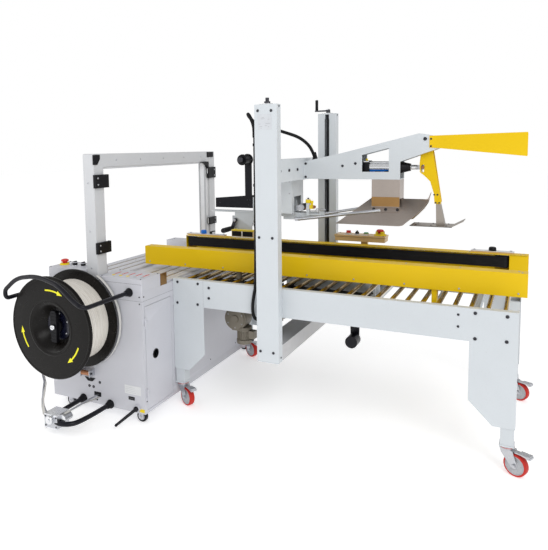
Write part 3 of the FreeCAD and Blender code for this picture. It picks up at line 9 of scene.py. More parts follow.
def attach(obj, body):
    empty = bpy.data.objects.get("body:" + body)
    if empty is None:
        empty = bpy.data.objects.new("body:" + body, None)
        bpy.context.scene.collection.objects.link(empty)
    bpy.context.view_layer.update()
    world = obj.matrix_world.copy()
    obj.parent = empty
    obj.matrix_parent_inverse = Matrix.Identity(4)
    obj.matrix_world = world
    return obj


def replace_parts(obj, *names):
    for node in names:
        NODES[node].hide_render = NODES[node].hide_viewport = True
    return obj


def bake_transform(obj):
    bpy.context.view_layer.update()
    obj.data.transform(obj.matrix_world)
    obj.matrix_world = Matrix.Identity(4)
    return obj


# A carton closing line: side belt sealer with a flap folding head, docked to an arch strapper.
# Positions are written in millimetres in machine axes: X from the outfeed end of the roller bed
# to its infeed end, Y from the near side panel across the bed, Z over the floor.

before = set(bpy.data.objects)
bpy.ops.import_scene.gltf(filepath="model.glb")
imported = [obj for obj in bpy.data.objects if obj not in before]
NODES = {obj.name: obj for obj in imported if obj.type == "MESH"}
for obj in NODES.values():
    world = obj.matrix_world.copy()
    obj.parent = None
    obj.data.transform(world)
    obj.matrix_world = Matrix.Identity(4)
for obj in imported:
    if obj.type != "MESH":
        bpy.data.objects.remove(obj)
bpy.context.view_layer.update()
MIDDLE = 449.0
ORIGIN_X, ORIGIN_Y = 562.9, 176.4  # the row frame's origin in machine millimetres
AXES = {
    "X": Vector((1, 0, 0)), "Y": Vector((0, 1, 0)), "Z": Vector((0, 0, 1)),
    "-X": Vector((-1, 0, 0)), "-Y": Vector((0, -1, 0)), "-Z": Vector((0, 0, -1)),
}


def at(x, y, z):
    """A machine point in millimetres as a point of the row frame in metres."""
    return Vector(((x - ORIGIN_X) / 1000, (y - ORIGIN_Y) / 1000, z / 1000))


# ---- materials ----

class Finish:
    """A principled material whose sockets are fed by procedural nodes."""

    def __init__(self, name, colour, roughness, metallic=0.0, coat=0.0):
        self.material = bpy.data.materials.new(name)
        self.material.use_nodes = True
        self.material.diffuse_color = (*colour, 1)
        self.tree = self.material.node_tree
        self.shader = self.tree.nodes["Principled BSDF"]
        self.set(self.shader, Base_Color=colour, Roughness=roughness, Metallic=metallic,
                 Coat_Weight=coat, Coat_Roughness=0.25)
        if min(colour) < 0.05:
            self.set(self.shader, Specular_IOR_Level=0.18)

    def feed(self, socket, value):
        """Link another node's output to a socket, or store a constant in it."""
        if isinstance(value, bpy.types.NodeSocket):
            self.tree.links.new(value, socket)
        else:
            socket.default_value = (*value, 1) if socket.type == "RGBA" else value

    def set(self, node, **values):
        """Feed a node's sockets, named with _ for a space."""
        for name, value in values.items():
            self.feed(node.inputs[name.replace("_", " ")], value)

    def node(self, kind, **values):
        node = self.tree.nodes.new("ShaderNode" + kind)
        self.set(node, **values)
        return node

    def place(self, stretch=(1, 1, 1)):
        """Object coordinates in metres, stretched along the axes."""
        source = self.node("TexCoord").outputs["Object"]
        return self.node("Mapping", Vector=source, Scale=stretch).outputs["Vector"]

    def noise(self, scale, detail=4.0, rough=0.55, stretch=(1, 1, 1)):
        return self.node("TexNoise", Vector=self.place(stretch), Scale=scale, Detail=detail,
                         Roughness=rough).outputs["Fac"]

    def spread(self, value, low, high, start=0.0, end=1.0):
        """Map a factor to a range."""
        return self.node("MapRange", Value=value, From_Min=start, From_Max=end, To_Min=low,
                         To_Max=high).outputs["Result"]

    def mix(self, factor, first, second):
        """Mix two colours; each is a colour or another node's output."""
        node = self.node("Mix")
        node.data_type = "RGBA"
        named = {socket.identifier: socket for socket in (*node.inputs, *node.outputs)}
        for name, value in (("Factor_Float", factor), ("A_Color", first), ("B_Color", second)):
            self.feed(named[name], value)
        return named["Result_Color"]

    def bump(self, height, distance, strength=1.0):
        """Raise the surface by a height, on top of any bump that is there already."""
        node = self.node("Bump", Height=height, Distance=distance, Strength=strength)
        normal = self.shader.inputs["Normal"]
        if normal.is_linked:
            self.feed(node.inputs["Normal"], normal.links[0].from_socket)
        self.feed(normal, node.outputs["Normal"])


def darker(colour, share):
    return tuple(c * share for c in colour)


def lighter(colour, share, lift):
    return tuple(min(1.0, c * share + lift) for c in colour)


def painted(name, colour, roughness=0.42, coat=0.12, grime=0.10):
    """Powder coat: orange peel, handling marks, worn edges and a little grime."""
    paint = Finish(name, colour, roughness, coat=coat)
    clouds = paint.spread(paint.noise(5.0, 5.0), 0, grime * 2, 0.35, 0.75)
    specks = paint.spread(paint.noise(160.0, 3.0), 0, grime * 2.2, 0.62, 0.74)
    tone = paint.mix(specks, paint.mix(clouds, colour, darker(colour, 0.80)), darker(colour, 0.62))
    edge = paint.spread(paint.node("NewGeometry").outputs["Pointiness"], 0, 0.55, 0.53, 0.62)
    rough = paint.spread(paint.noise(24.0), roughness - 0.07, roughness + 0.10, 0.3, 0.7)
    paint.set(paint.shader, Base_Color=paint.mix(edge, tone, lighter(colour, 1.25, 0.01)), Roughness=rough)
    paint.bump(paint.noise(620.0, 2.0), 0.00012, 0.5)
    return paint.material


def two_tone(name, upper, lower, height):
    """Powder coat over a brushed steel lower end; the height of the change is in metres."""
    paint = Finish(name, upper, 0.42)
    parts = paint.node("SeparateXYZ", Vector=paint.place())
    steel = paint.spread(parts.outputs["Z"], 1, 0, height - 0.0004, height + 0.0004)
    clouds = paint.spread(paint.noise(5.0, 5.0), 0, 0.2, 0.35, 0.75)
    coat = paint.mix(clouds, upper, darker(upper, 0.80))
    lines = paint.noise(90.0, 5.0, 0.6, (12, 12, 0.6))
    sheet = paint.mix(paint.spread(lines, 0, 0.4, 0.3, 0.7), lower, darker(lower, 0.70))
    paint.set(paint.shader, Base_Color=paint.mix(steel, coat, sheet), Metallic=steel,
              Roughness=paint.spread(lines, 0.32, 0.46, 0.3, 0.7))
    paint.bump(paint.noise(620.0, 2.0), 0.00010, 0.4)
    return paint.material


def metal(name, colour, roughness, stretch, grain=0.35):
    """Bare metal with a brushed grain; the grain runs along the axis with the small stretch."""
    bare = Finish(name, colour, roughness, metallic=1.0)
    lines = bare.noise(90.0, 5.0, 0.6, stretch)
    tone = bare.mix(bare.spread(lines, 0, grain, 0.3, 0.7), colour, darker(colour, 0.70))
    stains = bare.spread(bare.noise(9.0), 0, 0.35, 0.45, 0.75)
    rough = bare.spread(lines, roughness - 0.08, roughness + 0.12, 0.3, 0.7)
    bare.set(bare.shader, Base_Color=bare.mix(stains, tone, darker(colour, 0.82)), Roughness=rough)
    bare.bump(lines, 0.00008, 0.4)
    return bare.material


def plastic(name, colour, roughness=0.4, grain=400.0, depth=0.00015, coat=0.0):
    """Moulded plastic with a fine grain and small changes of tone."""
    moulded = Finish(name, colour, roughness, coat=coat)
    cloud = moulded.spread(moulded.noise(14.0), 0, 0.5, 0.35, 0.75)
    rough = moulded.spread(moulded.noise(40.0, 3.0), roughness - 0.06, roughness + 0.1, 0.3, 0.7)
    tone = moulded.mix(cloud, colour, lighter(colour, 1.18, 0.002))
    moulded.set(moulded.shader, Base_Color=tone, Roughness=rough)
    moulded.bump(moulded.noise(grain, 2.0), depth, 0.6)
    return moulded.material


def strap_film(name):
    """Wound strap: 12 mm bands side by side, embossed, cream white and a little uneven, with painted shade in
    the seams between bands.
    """
    strap = Finish(name, (0.80, 0.77, 0.71), 0.38)
    wave = strap.node("TexWave", Vector=strap.place(), Scale=26.2, Distortion=0.35, Detail=1.0)
    wave.wave_type = "BANDS"
    wave.bands_direction = "Y"
    # Darker lines between the wraps are painted shade.
    shade_between_wraps = strap.spread(wave.outputs["Fac"], 0.55, 0, 0.0, 0.10)
    cloud = strap.spread(strap.noise(7.0, stretch=(1, 20, 1)), 0, 0.6, 0.3, 0.7)
    tone = strap.mix(cloud, (0.82, 0.79, 0.74), (0.66, 0.61, 0.53))
    strap.set(strap.shader, Base_Color=strap.mix(shade_between_wraps, tone, (0.42, 0.38, 0.32)))
    strap.bump(wave.outputs["Fac"], 0.0006, 0.4)
    strap.bump(strap.noise(900.0, 1.0), 0.0001, 0.5)
    return strap.material


def belt_rubber(name):
    """Black grip belt with a rough top cover and worn streaks along its run."""
    belt = Finish(name, (0.006, 0.006, 0.006), 0.62)
    streaks = belt.spread(belt.noise(30.0, stretch=(0.4, 1, 12)), 0, 0.6, 0.4, 0.75)
    belt.set(belt.shader, Base_Color=belt.mix(streaks, (0.005, 0.005, 0.006), (0.022, 0.021, 0.021)))
    belt.bump(belt.noise(480.0, 2.0), 0.0004, 0.8)
    return belt.material


LIGHT_GREY = (0.575, 0.610, 0.640)
CABINET_GREY = (0.560, 0.565, 0.610)
YELLOW = (0.740, 0.490, 0.002)

M = {
    "machine": painted("machine_paint", LIGHT_GREY),
    "cabinet": painted("cabinet_paint", CABINET_GREY),
    "base": painted("base_beam_paint", (0.52, 0.52, 0.53)),
    "arch": painted("arch_paint", (0.60, 0.61, 0.63)),
    "beige": painted("control_paint", (0.66, 0.47, 0.24)),
    "black": painted("black_paint", (0.004, 0.004, 0.008), 0.34, 0.15, 0.05),
    "yellow": painted("yellow_paint", YELLOW, 0.42, 0.06, 0.06),
    "kicker": two_tone("kicker_paint", YELLOW, (0.40, 0.36, 0.32), 1.127),
    "motor": painted("motor_paint", (0.20, 0.175, 0.135), 0.48, 0.05, 0.2),
    # the brown tint of this stainless is painted reflection of the yellow covers
    "stainless": metal("stainless_sheet", (0.47, 0.41, 0.37), 0.34, (0.6, 12, 12)),
    # steel with a bronze tone that is painted reflection of the yellow parts nearby
    "painted_reflection": metal("steel_painted_reflection", (0.40, 0.23, 0.09), 0.36, (0.6, 12, 12)),
    "zinc": metal("zinc_steel", (0.56, 0.57, 0.60), 0.28, (12, 0.6, 12)),
    # the golden tint of these polished rollers is painted reflection of the yellow covers
    "roller": metal("roller_steel", (0.46, 0.35, 0.19), 0.17, (30, 0.5, 30), 0.25),
    "bright": metal("bright_aluminium", (0.80, 0.81, 0.83), 0.22, (0.6, 12, 12), 0.2),
    "dark_steel": metal("dark_steel", (0.07, 0.07, 0.08), 0.42, (6, 6, 6), 0.3),
    "copper": metal("copper_roller", (0.42, 0.20, 0.11), 0.30, (1, 20, 20), 0.3),
    "plastic": plastic("black_plastic", (0.005, 0.005, 0.007)),
    "reel": plastic("reel_plastic", (0.004, 0.0032, 0.0026), 0.30, 260.0, 0.0002, 0.0),
    "hose": plastic("hose_plastic", (0.006, 0.006, 0.007), 0.45),
    "white": plastic("white_plastic", (0.72, 0.73, 0.75), 0.45),
    "grey": plastic("grey_plastic", (0.42, 0.43, 0.45), 0.4),
    "plate": plastic("data_plate", (0.56, 0.58, 0.61), 0.4, 900.0, 0.00003),
    "red": plastic("red_plastic", (0.62, 0.020, 0.012), 0.28, 300.0, 0.0001, 0.4),
    "green": plastic("green_plastic", (0.010, 0.30, 0.10), 0.28, 300.0, 0.0001, 0.4),
    "blue": plastic("blue_plastic", (0.015, 0.16, 0.62), 0.35),
    "amber": plastic("yellow_plastic", (0.80, 0.60, 0.02), 0.35),
    "tread": plastic("red_tread", (0.50, 0.030, 0.022), 0.42, 200.0, 0.0002),
    "label": plastic("label_film", (0.66, 0.67, 0.68), 0.35, 900.0, 0.00003),
    "arrow": plastic("arrow_film", (0.86, 0.80, 0.03), 0.4, 900.0, 0.00003),
    "strap": strap_film("strap_film"),
    "film": plastic("loose_strap", (0.62, 0.61, 0.58), 0.35, 900.0, 0.0001),
    # near-black painted shade for gaps, slots and openings; also the printed ticks of the height ruler
    "shade_and_print": plastic("painted_shade_and_print", (0.05, 0.05, 0.055), 0.7),
    "seam": plastic("panel_seam", (0.20, 0.21, 0.23), 0.7),
    # near-black painted shade for the trays under the bed rollers
    "tray_shade": plastic("tray_painted_shade", (0.010, 0.009, 0.009), 0.6),
    "glossy": plastic("glossy_hub", (0.006, 0.007, 0.020), 0.14, 60.0, 0.0001, 0.7),
    "belt": belt_rubber("belt_cover_rubber"),
}

SMALL_FACE = 0.0004  # square metres; larger cabinet faces are shaded flat

NODE_LOOKS = (
    ("machine", 1.2, "side_panels mast_columns head_beam"),
    ("machine", 1.0, "leg_posts boom"),
    ("machine", 0.8, "bed_crossbars"),
    ("roller", 0.5, "bed_rollers"),
    ("base", 1.2, "mast_base_beam"),
    ("black", 0.6, "bottom_tape_head"),
    ("beige", 0.8, "control_box"),
    ("hose", 0, "column_hose head_hose"),
    ("cabinet", 0.4, "strapper_cabinet"),
    ("cabinet", 1.0, "strapper_table"),
    ("arch", 1.2, "arch_frame"),
    ("white", 0.8, "arch_tracks"),
    ("black", 0, "reel_guard_tube bumper_tube foot_lever"),
    ("zinc", 0.4, "strap_run"),
    ("yellow", 0.5, "flap_wings"),
    ("stainless", 0.5, "ski_plate"),
    ("zinc", 0, "flap_rods"),
    ("machine", 0.6, "top_tape_head"),
    ("black", 0.8, "tape_roll_arm"),
    ("bright", 0.8, "air_cylinder"),
    ("plastic", 0.5, "tape_mandrel"),
    ("zinc", 0.5, "top_roller_arm"),
    ("zinc", 0.6, "cylinder_rod"),
    ("kicker", 0.6, "kicker_arm"),
    ("dark_steel", 0.6, "near_screw_crank far_screw_crank width_crank"),
    ("yellow", 0.9, "near_belt_cover far_belt_cover"),
    ("belt", 0, "near_belt far_belt"),
    ("motor", 1.0, "near_drive_motor far_drive_motor"),
    ("red", 0, "stop_button"),
    ("green", 0, "start_button"),
    ("red", 0.5, "emergency_button strapper_emergency_button"),
    ("cabinet", 0.3, "cabinet_door"),
    ("reel", 0.6, "reel"),
    ("strap", 0, "strap_coil"),
    ("plastic", 1.5, "reel_lock_knob"),
    ("beige", 0.6, "cover_fittings"),
)


def dress_nodes():
    """Give every CAD node its finish, smooth round faces and softly broken edges."""
    chosen = {name: (look, width) for look, width, names in NODE_LOOKS for name in names.split()}
    for name, node in NODES.items():
        look, width = chosen.get(name, ("zinc", 0.5))
        if name.endswith("_wheel"):
            look, width = "tread", 0.5
        if name.startswith("strapper_wheel"):
            look, width = "plastic", 0.6
        node.data.materials.clear()
        node.data.materials.append(M[look])
        node.data.shade_smooth()
        node.data.set_sharp_from_angle(angle=radians(32))
        if name == "strapper_cabinet":
            for face in node.data.polygons:
                face.use_smooth = face.area < SMALL_FACE
        weld = node.modifiers.new("weld", "WELD")
        weld.merge_threshold = 0.00002
        bevel = node.modifiers.new("edges", "BEVEL")
        bevel.width = max(width, 0.3) / 1000
        bevel.segments = 2
        bevel.limit_method = "ANGLE"
        bevel.angle_limit = radians(32)
        bevel.use_clamp_overlap = False
        shading = node.modifiers.new("flat_faces", "WEIGHTED_NORMAL")
        shading.weight = 100
        shading.keep_sharp = True


# ---- piece builder ----

class Shape:
    """A detail piece that grows from simple solids placed in machine millimetres."""

    def __init__(self, look):
        self.mesh = bmesh.new()
        self.looks = [look]
        self.slot = 0

    def use(self, look):
        """Set the finish of the solids that follow."""
        if look not in self.looks:
            self.looks.append(look)
        self.slot = self.looks.index(look)
        return self

    def skin(self, rows, around=False):
        """Join rings of points, either capped at both ends or closed from last to first."""
        rings = [[self.mesh.verts.new(at(*point)) for point in row] for row in rows]
        pairs = list(zip(rings, rings[1:]))
        if around:
            pairs.append((rings[-1], rings[0]))
        faces = []
        for first, second in pairs:
            for i in range(len(first)):
                j = (i + 1) % len(first)
                faces.append(self.mesh.faces.new((first[i], first[j], second[j], second[i])))
        if not around:
            faces.append(self.mesh.faces.new(rings[0]))
            faces.append(self.mesh.faces.new(rings[-1]))
        for face in faces:
            face.material_index = self.slot

    def box(self, x0, y0, z0, x1, y1, z1):
        self.skin([[(x0, y0, z), (x1, y0, z), (x1, y1, z), (x0, y1, z)] for z in (z0, z1)])

    def boxes(self, *corners):
        for corner in corners:
            self.box(*corner)

    def turned(self, centre, axis, profile, sides=32, around=False):
        """A body of revolution; the profile lists heights along the axis and radii."""
        along = AXES[axis] if isinstance(axis, str) else Vector(axis).normalized()
        side = along.orthogonal().normalized()
        up = along.cross(side)
        circle = [polar(1, 360 * i / sides) for i in range(sides)]
        self.skin([[Vector(centre) + along * height + (side * u + up * v) * radius for u, v in circle]
                   for height, radius in profile], around)

    def plate(self, plane, outline, low, high):
        """A flat plate; the outline lies in XY, XZ or YZ and the plate is low to high thick."""
        slot = {"XY": 2, "XZ": 1, "YZ": 0}[plane]
        self.skin([[(*point[:slot], level, *point[slot:]) for point in outline] for level in (low, high)])

    def tube(self, points, radii, sides=12):
        """A round tube through points, with one radius or a radius for each point."""
        line = [Vector(point) for point in points]
        if not isinstance(radii, (list, tuple)):
            radii = [radii] * len(line)
        side = (line[1] - line[0]).orthogonal().normalized()
        circle = [polar(1, 360 * k / sides) for k in range(sides)]
        rows = []
        for i, (point, radius) in enumerate(zip(line, radii)):
            ahead = (line[min(i + 1, len(line) - 1)] - line[max(i - 1, 0)]).normalized()
            side = (side - ahead * side.dot(ahead)).normalized()
            up = ahead.cross(side)
            rows.append([point + (side * u + up * v) * radius for u, v in circle])
        self.skin(rows)

    def bolt(self, x, y, z, axis, size=10):
        """A hexagon bolt head on its washer."""
        self.turned((x, y, z), axis, [(0, size * 1.05), (size * 0.16, size * 1.05)], 24)
        self.turned((x, y, z), axis, [(size * 0.16, size * 0.92), (size * 0.68, size * 0.92),
            (size * 0.78, size * 0.76)], 6)

    def screw(self, x, y, z, axis, radius=5):
        """A button head screw with a socket."""
        self.turned((x, y, z), axis, [(0, radius), (radius * 0.25, radius), (radius * 0.5, radius * 0.8),
            (radius * 0.58, radius * 0.5), (radius * 0.2, radius * 0.42)], 18)

    def screws(self, xs, ys, zs, axis, radius):
        """Screws at every combination of the places given along X, Y and Z."""
        for place in product(xs, ys, zs):
            self.screw(*place, axis, radius)

    def screw_pairs(self, places, y, radius):
        """Screws at X and Z places on a face that looks to the near side, and on its mirror image."""
        for x, z in places:
            self.screw(x, y, z, "-Y", radius)
            self.screw(x, far(y), z, "Y", radius)

    def finish(self, name, bevel, body="line_frame"):
        """Turn the solids into one piece that rides on a body."""
        mesh = self.mesh
        bmesh.ops.recalc_face_normals(mesh, faces=mesh.faces)
        for edge in mesh.edges:
            if len(edge.link_faces) == 2 and edge.calc_face_angle() > 0.55:
                edge.smooth = False
        for face in mesh.faces:
            face.smooth = True
        data = bpy.data.meshes.new(name)
        mesh.to_mesh(data)
        mesh.free()
        for look in self.looks:
            data.materials.append(M[look])
        piece = new_object(name, data)
        if bevel:
            edges = piece.modifiers.new("edges", "BEVEL")
            edges.width = bevel / 1000
            edges.segments = 2
            edges.limit_method = "ANGLE"
            edges.angle_limit = radians(32)
            edges.harden_normals = True
        if body:
            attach(piece, body)
        return piece


def far(y):
    """The same distance across the bed, seen from the far side."""
    return 2 * MIDDLE - y


def polar(radius, degrees):
    """A point on a circle round the origin."""
    return radius * cos(radians(degrees)), radius * sin(radians(degrees))


def spokes(count, start):
    """Outward and sideways directions in the XZ plane of evenly spaced spokes."""
    for i in range(count):
        u, w = polar(1, start + 360 * i / count)
        yield Vector((u, 0, w)), Vector((-w, 0, u))


# ---- sealer bed ----

SIDES = (("near", lambda y: y, "-Y", "near_side_drive"), ("far", far, "Y", "far_side_drive"))


def panel_details():
    """Bolts, the leg plate seams and the post caps of both side panels."""
    left = [(31, 700), (160, 700), (228, 684), (227, 628), (28, 584), (157, 586)]
    right = [(1481, 686), (1550, 700), (1676, 699), (1481, 633), (1551, 587), (1676, 590)]
    for side, turn, axis, _ in SIDES:
        bolts = Shape("dark_steel")
        for x, z in left + right:
            bolts.screw(x, turn(0), z, axis, 5.5 if x == 1481 else 7.5)
        bolts.finish("panel_bolts_" + side, 0.2)
        seams = Shape("seam")
        seams.box(191.6, turn(0) - 0.2, 574, 192.4, turn(0) + (-0.25 if side == "near" else 0.25), 717)
        seams.finish("panel_seams_" + side, 0)
        caps = Shape("grey")
        y = turn(31.5)
        for x in (31.5, 1688.5):
            caps.box(x - 24, y - 24, 560, x + 24, y + 24, 563)
            for u, v in product((-20, 20), repeat=2):
                caps.use("zinc").bolt(x + u, y + v, 124, "-Z", 5)
        caps.finish("post_caps_" + side, 0.4)


def roller_details():
    """Bearing plugs at both ends of the rollers, and trays under them whose near-black is painted shade below
    the bed.
    """
    plugs = Shape("plastic")
    ends = [(57 + 70 * i, 9.4, "-Y", "Y") for i in range(24)]
    ends += [(547 + 70 * i, 388.6, "Y", "-Y") for i in range(7)]
    for x, y, near_axis, far_axis in ends:
        for place, axis in ((y, near_axis), (far(y), far_axis)):
            plugs.turned((x, place, 701), axis, [(-0.5, 10.4), (0.8, 10.2), (1.6, 7.5), (3.0, 6.8)], 20)
    plugs.finish("roller_plugs", 0.2)
    # The trays' near-black stands in for the shade under the bed.
    tray = Shape("tray_shade")
    for (x0, x1), (y0, y1) in product(((70, 500), (560, 1010)), ((40, 392), (506, 860))):
        tray.plate("XZ", [(x0, 640), (x0, 655), (x0 + 2, 655), (x0 + 2, 642), (x1 - 2, 642), (x1 - 2, 655),
                          (x1, 655), (x1, 640)], y0, y1)
    tray.finish("shade_trays", 0.4)


def column_details():
    """Bolts, wiper strips, scale, data plate and the screw bearing of both columns."""
    for side, turn, out, _ in SIDES:
        bolts = Shape("dark_steel")
        for x, z in ((551, 1604), (622, 1602), (551, 982), (622, 982), (551, 401), (622, 400)):
            bolts.screw(x, turn(-49.3), z, out, 7)
        for z in (1624, 372):
            bolts.screw(651, turn(-22), z, "X", 5)
            bolts.screw(532, turn(-22), z, "-X", 5)
        bolts.finish("column_bolts_" + side, 0.2)
        strips = Shape("plastic")
        for x in (577.5, 602.5):
            strips.box(x, turn(0), 432, x + 3, turn(1.4), 1600)
        strips.finish("column_strips_" + side, 0.3)
        bearing = Shape("bright")
        bearing.turned((591.5, turn(-24.65), 1634), "Z", [(0, 24), (3, 24), (4.5, 22), (4.5, 17), (0, 17)],
                       40, True)
        y = turn(-24.65)
        bearing.use("dark_steel").screws((559.5, 623.5), (y - 14, y + 14), (1634,), "Z", 3.2)
        bearing.finish("screw_bearing_" + side, 0.3)
    plate = Shape("plate")
    plate.box(551, -49.9, 1512, 624, -49.3, 1586)
    plate.use("grey")
    for x0, x1, z in (
            (572, 584, 1569), (568, 588, 1563), (604, 614, 1560), (556, 566, 1538), (592, 616, 1540),
            (560, 574, 1526), (588, 600, 1530), (604, 612, 1524), (566, 572, 1518)):
        plate.box(x0, -50.1, z, x1, -49.8, z + 2.4)
    plate.finish("column_data_plate", 0.15)
    feet = Shape("machine")
    for turn, low, high in ((lambda y: y, -49, -2), (far, 900, 947)):
        feet.box(534, low, 345, 649, high, 349)
        for x in (546, 637):
            feet.plate("XZ", [(x - 3, 430), (x + 3, 430), (x + 3, 470), (x - 3, 462)], turn(1), turn(20))
    feet.finish("column_foot_plates", 0.5)
    ruler = Shape("label")
    ruler.box(531.2, -46, 900, 532, -34, 1560)
    ruler.use("shade_and_print")
    for i in range(65):
        ruler.box(531.05, -46, 904 + 10 * i, 531.25, -41 if i % 5 else -37, 904.9 + 10 * i)
    ruler.finish("height_ruler", 0)


def cover_details():
    """Screws, end plates, belt guides and the fittings on both side belt covers."""
    for side, turn, out, body in SIDES:
        screws = Shape("zinc")
        for x in range(-280, 1713, 249):
            screws.screw(x, turn(182), 759, out, 4.5)
            screws.screw(x, turn(226), 851, "Z", 4.5)
        screws.screws((-290, 1726), (turn(198),), (851,), "Z", 4.5)
        screws.finish("cover_screws_" + side, 0.15, body)
        guides = Shape("bright")
        for x in (-270, 1628):
            guides.turned((x, turn(225.7), 846), "Z", [(0, 9), (1.6, 9), (2, 7)], 24)
        for z in (744.5, 846.5):
            guides.box(-305, turn(249), z, 1741, turn(249.8), z + 2)
        guides.finish("belt_guides_" + side, 0.2, body)
        ends = Shape("yellow")
        ends.box(1659, turn(248.2), 745, 1748, turn(249.8), 849)
        ends.box(1747, turn(184), 745, 1748.6, turn(249.6), 849)
        ends.finish("cover_end_plates_" + side, 0.3, body)
    caps = Shape("white")
    caps.boxes((-326, 674, 858, -39, 717.5, 860.5), (1469, 674, 858, 1681, 717.5, 860.5),
               (18.5, 670.5, 851.5, 176.5, 717.5, 858), (92, 671, 858, 99, 671.8, 897))
    caps.use("amber").box(18.5, 670.5, 894, 176.5, 717.5, 900.5)
    caps.use("plastic").boxes((24, 670.8, 860, 90, 672.2, 892), (101, 670.8, 860, 171, 672.2, 892))
    for x, top, look in ((-202, 884, "blue"), (1575, 880, "plastic")):
        caps.use(look).turned((x, 696, 860.5), "Z", [(0, 17), (3, 20), (top - 866, 19), (top - 860, 15)], 12)
    for x in (-310, -55, 1485, 1665):
        caps.use("zinc").bolt(x, 704, 860.5, "Z", 6)
    caps.finish("cover_fitting_caps", 0.6, "far_side_drive")
    handle = Shape("plastic")
    handle.tube([(-150, 700, 872), (-132, 693, 879), (-112, 691, 882)], [4, 4, 3.4])
    handle.turned((-150, 700, 862), "Z", [(-2, 9), (10, 9), (14, 6)], 18)
    handle.finish("clamp_lever", 0.3, "far_side_drive")


def motor_details():
    """Cooling fins, fan cowl, terminal box and gear case covers of both drive motors."""
    for side, turn, _, body in SIDES:
        y = turn(216)
        fins = Shape("motor")
        for i in range(20):
            u = Vector((*polar(1, 18 * i), 0))
            v = Vector((*polar(1, 18 * i + 90), 0))
            corners = [Vector((329, y, 0)) + u * r + v * w
                       for r, w in ((34, -1.1), (41, -0.8), (41, 0.8), (34, 1.1))]
            fins.skin([[(p.x, p.y, z) for p in corners] for z in (356, 408)])
        fins.turned((329, y, 330), "Z", [(0, 36), (3, 42.5), (24, 43.5), (26, 41)], 40)
        fins.turned((329, y, 408), "Z", [(0, 43), (7, 45), (8, 44)], 40)
        fins.boxes((364, y - 20, 364, 398, y + 20, 408), (362, y - 22, 376, 366, y + 22, 396))
        for end, axis in ((-1, "-Y"), (1, "Y")):
            fins.use("motor").turned((293, y + 40 * end, 475), axis,
                                     [(0, 56), (4, 56), (6, 50), (6, 24), (12, 22)], 40)
            for i in range(6):
                u, w = polar(49, 30 + 60 * i)
                fins.use("zinc").screw(293 + u, y + 45 * end, 475 + w, axis, 4)
        fins.use("motor").box(266, y - 30, 405, 320, y + 30, 416)
        fins.use("plastic").turned((381, y, 364), "-Z", [(0, 9), (5, 9), (7, 7.5), (14, 7)], 16)
        # The thin near-black rings on the fan cowl are painted shade in its grille openings.
        for r in range(30, 0, -5):
            fins.use("shade_and_print").turned((329, y, 329.8), "-Z", [(0, r), (0.4, r), (0.4, r - 2), (0, r - 2)],
                                      28, True)
        fins.finish("motor_details_" + side, 0.5, body)


def control_box_details():
    """Lid seam, legend plates, bezels and the yellow collar of the push button box."""
    box = Shape("beige")
    box.box(683.5, 757.5, 884, 992.5, 852.5, 893.8)
    # The near-black band under the lid's edge is painted shade in the lid seam.
    box.use("shade_and_print").box(685, 759, 881.8, 991, 851, 884.1)
    for x in (760, 813, 868):
        box.use("label").box(x - 22, 763, 893.7, x + 22, 775, 894.3)
    for x, r in ((760, 21), (868, 21), (813, 17)):
        box.use("bright").turned((x, 805, 893.8), "Z", [
            (0, r), (2.5, r), (4, r - 2), (4, r - 4.5), (0, r - 4.5)], 36, True)
    box.use("amber").turned((952, 805, 893.8), "Z", [(0, 36), (3, 36), (8.6, 32.5), (8.6, 15), (0, 15)],
                            40, True)
    for middle in (45, 135, 225, 315):
        arc = [polar(27, middle + 9 * i) for i in range(-3, 4)]
        arc += [polar(24, middle + 9 * i) for i in range(3, -4, -1)]
        box.plate("XY", [(952 + u, 805 + v) for u, v in arc], 900, 918)
    box.use("dark_steel").screws((697, 979), (768, 842), (893.8,), "Z", 4)
    box.use("plastic").turned((813, 805, 897), "Z", [(0, 12.5), (9, 12), (12, 10.5)], 24)
    box.box(809.5, 793, 908, 816.5, 817, 916)
    box.turned((720, 852, 870), "Y", [(0, 11), (6, 11), (9, 8.5), (20, 7)], 20)
    box.use("white").box(812, 796, 915.6, 814, 806, 916.3)
    box.finish("control_box_details", 0.5)


def bed_underside_details():
    """Bearings and bolts of the width crank, screws of the tape head and the cross bars."""
    parts = Shape("dark_steel")
    parts.turned((-62, 906, 935), "Y", [(-0.5, 22), (6, 22), (8, 18), (8, 9.2), (-0.5, 9.2)], 32, True)
    for x, z in ((-75, 822), (-30, 822), (30, 640), (30, 760)):
        parts.screw(x, 906, z, "Y", 5)
    parts.screw_pairs(product((530, 1010), (640, 690)), 394, 4)
    for x in (442, 1352):
        for y, axis in ((4.2, "Y"), (far(4.2), "-Y")):
            parts.turned((x, y, 655), axis, [(0, 19), (10, 19), (12, 16), (12, 10.6), (0, 10.6)], 28, True)
    parts.box(512, 99, 579.5, 548, 161, 581.5)
    parts.screws((517, 543), (104, 156), (581.5,), "Z", 3)
    parts.finish("bed_hardware", 0.3)


# ---- lifting head ----

SKI_SLOPE = radians(39.8)


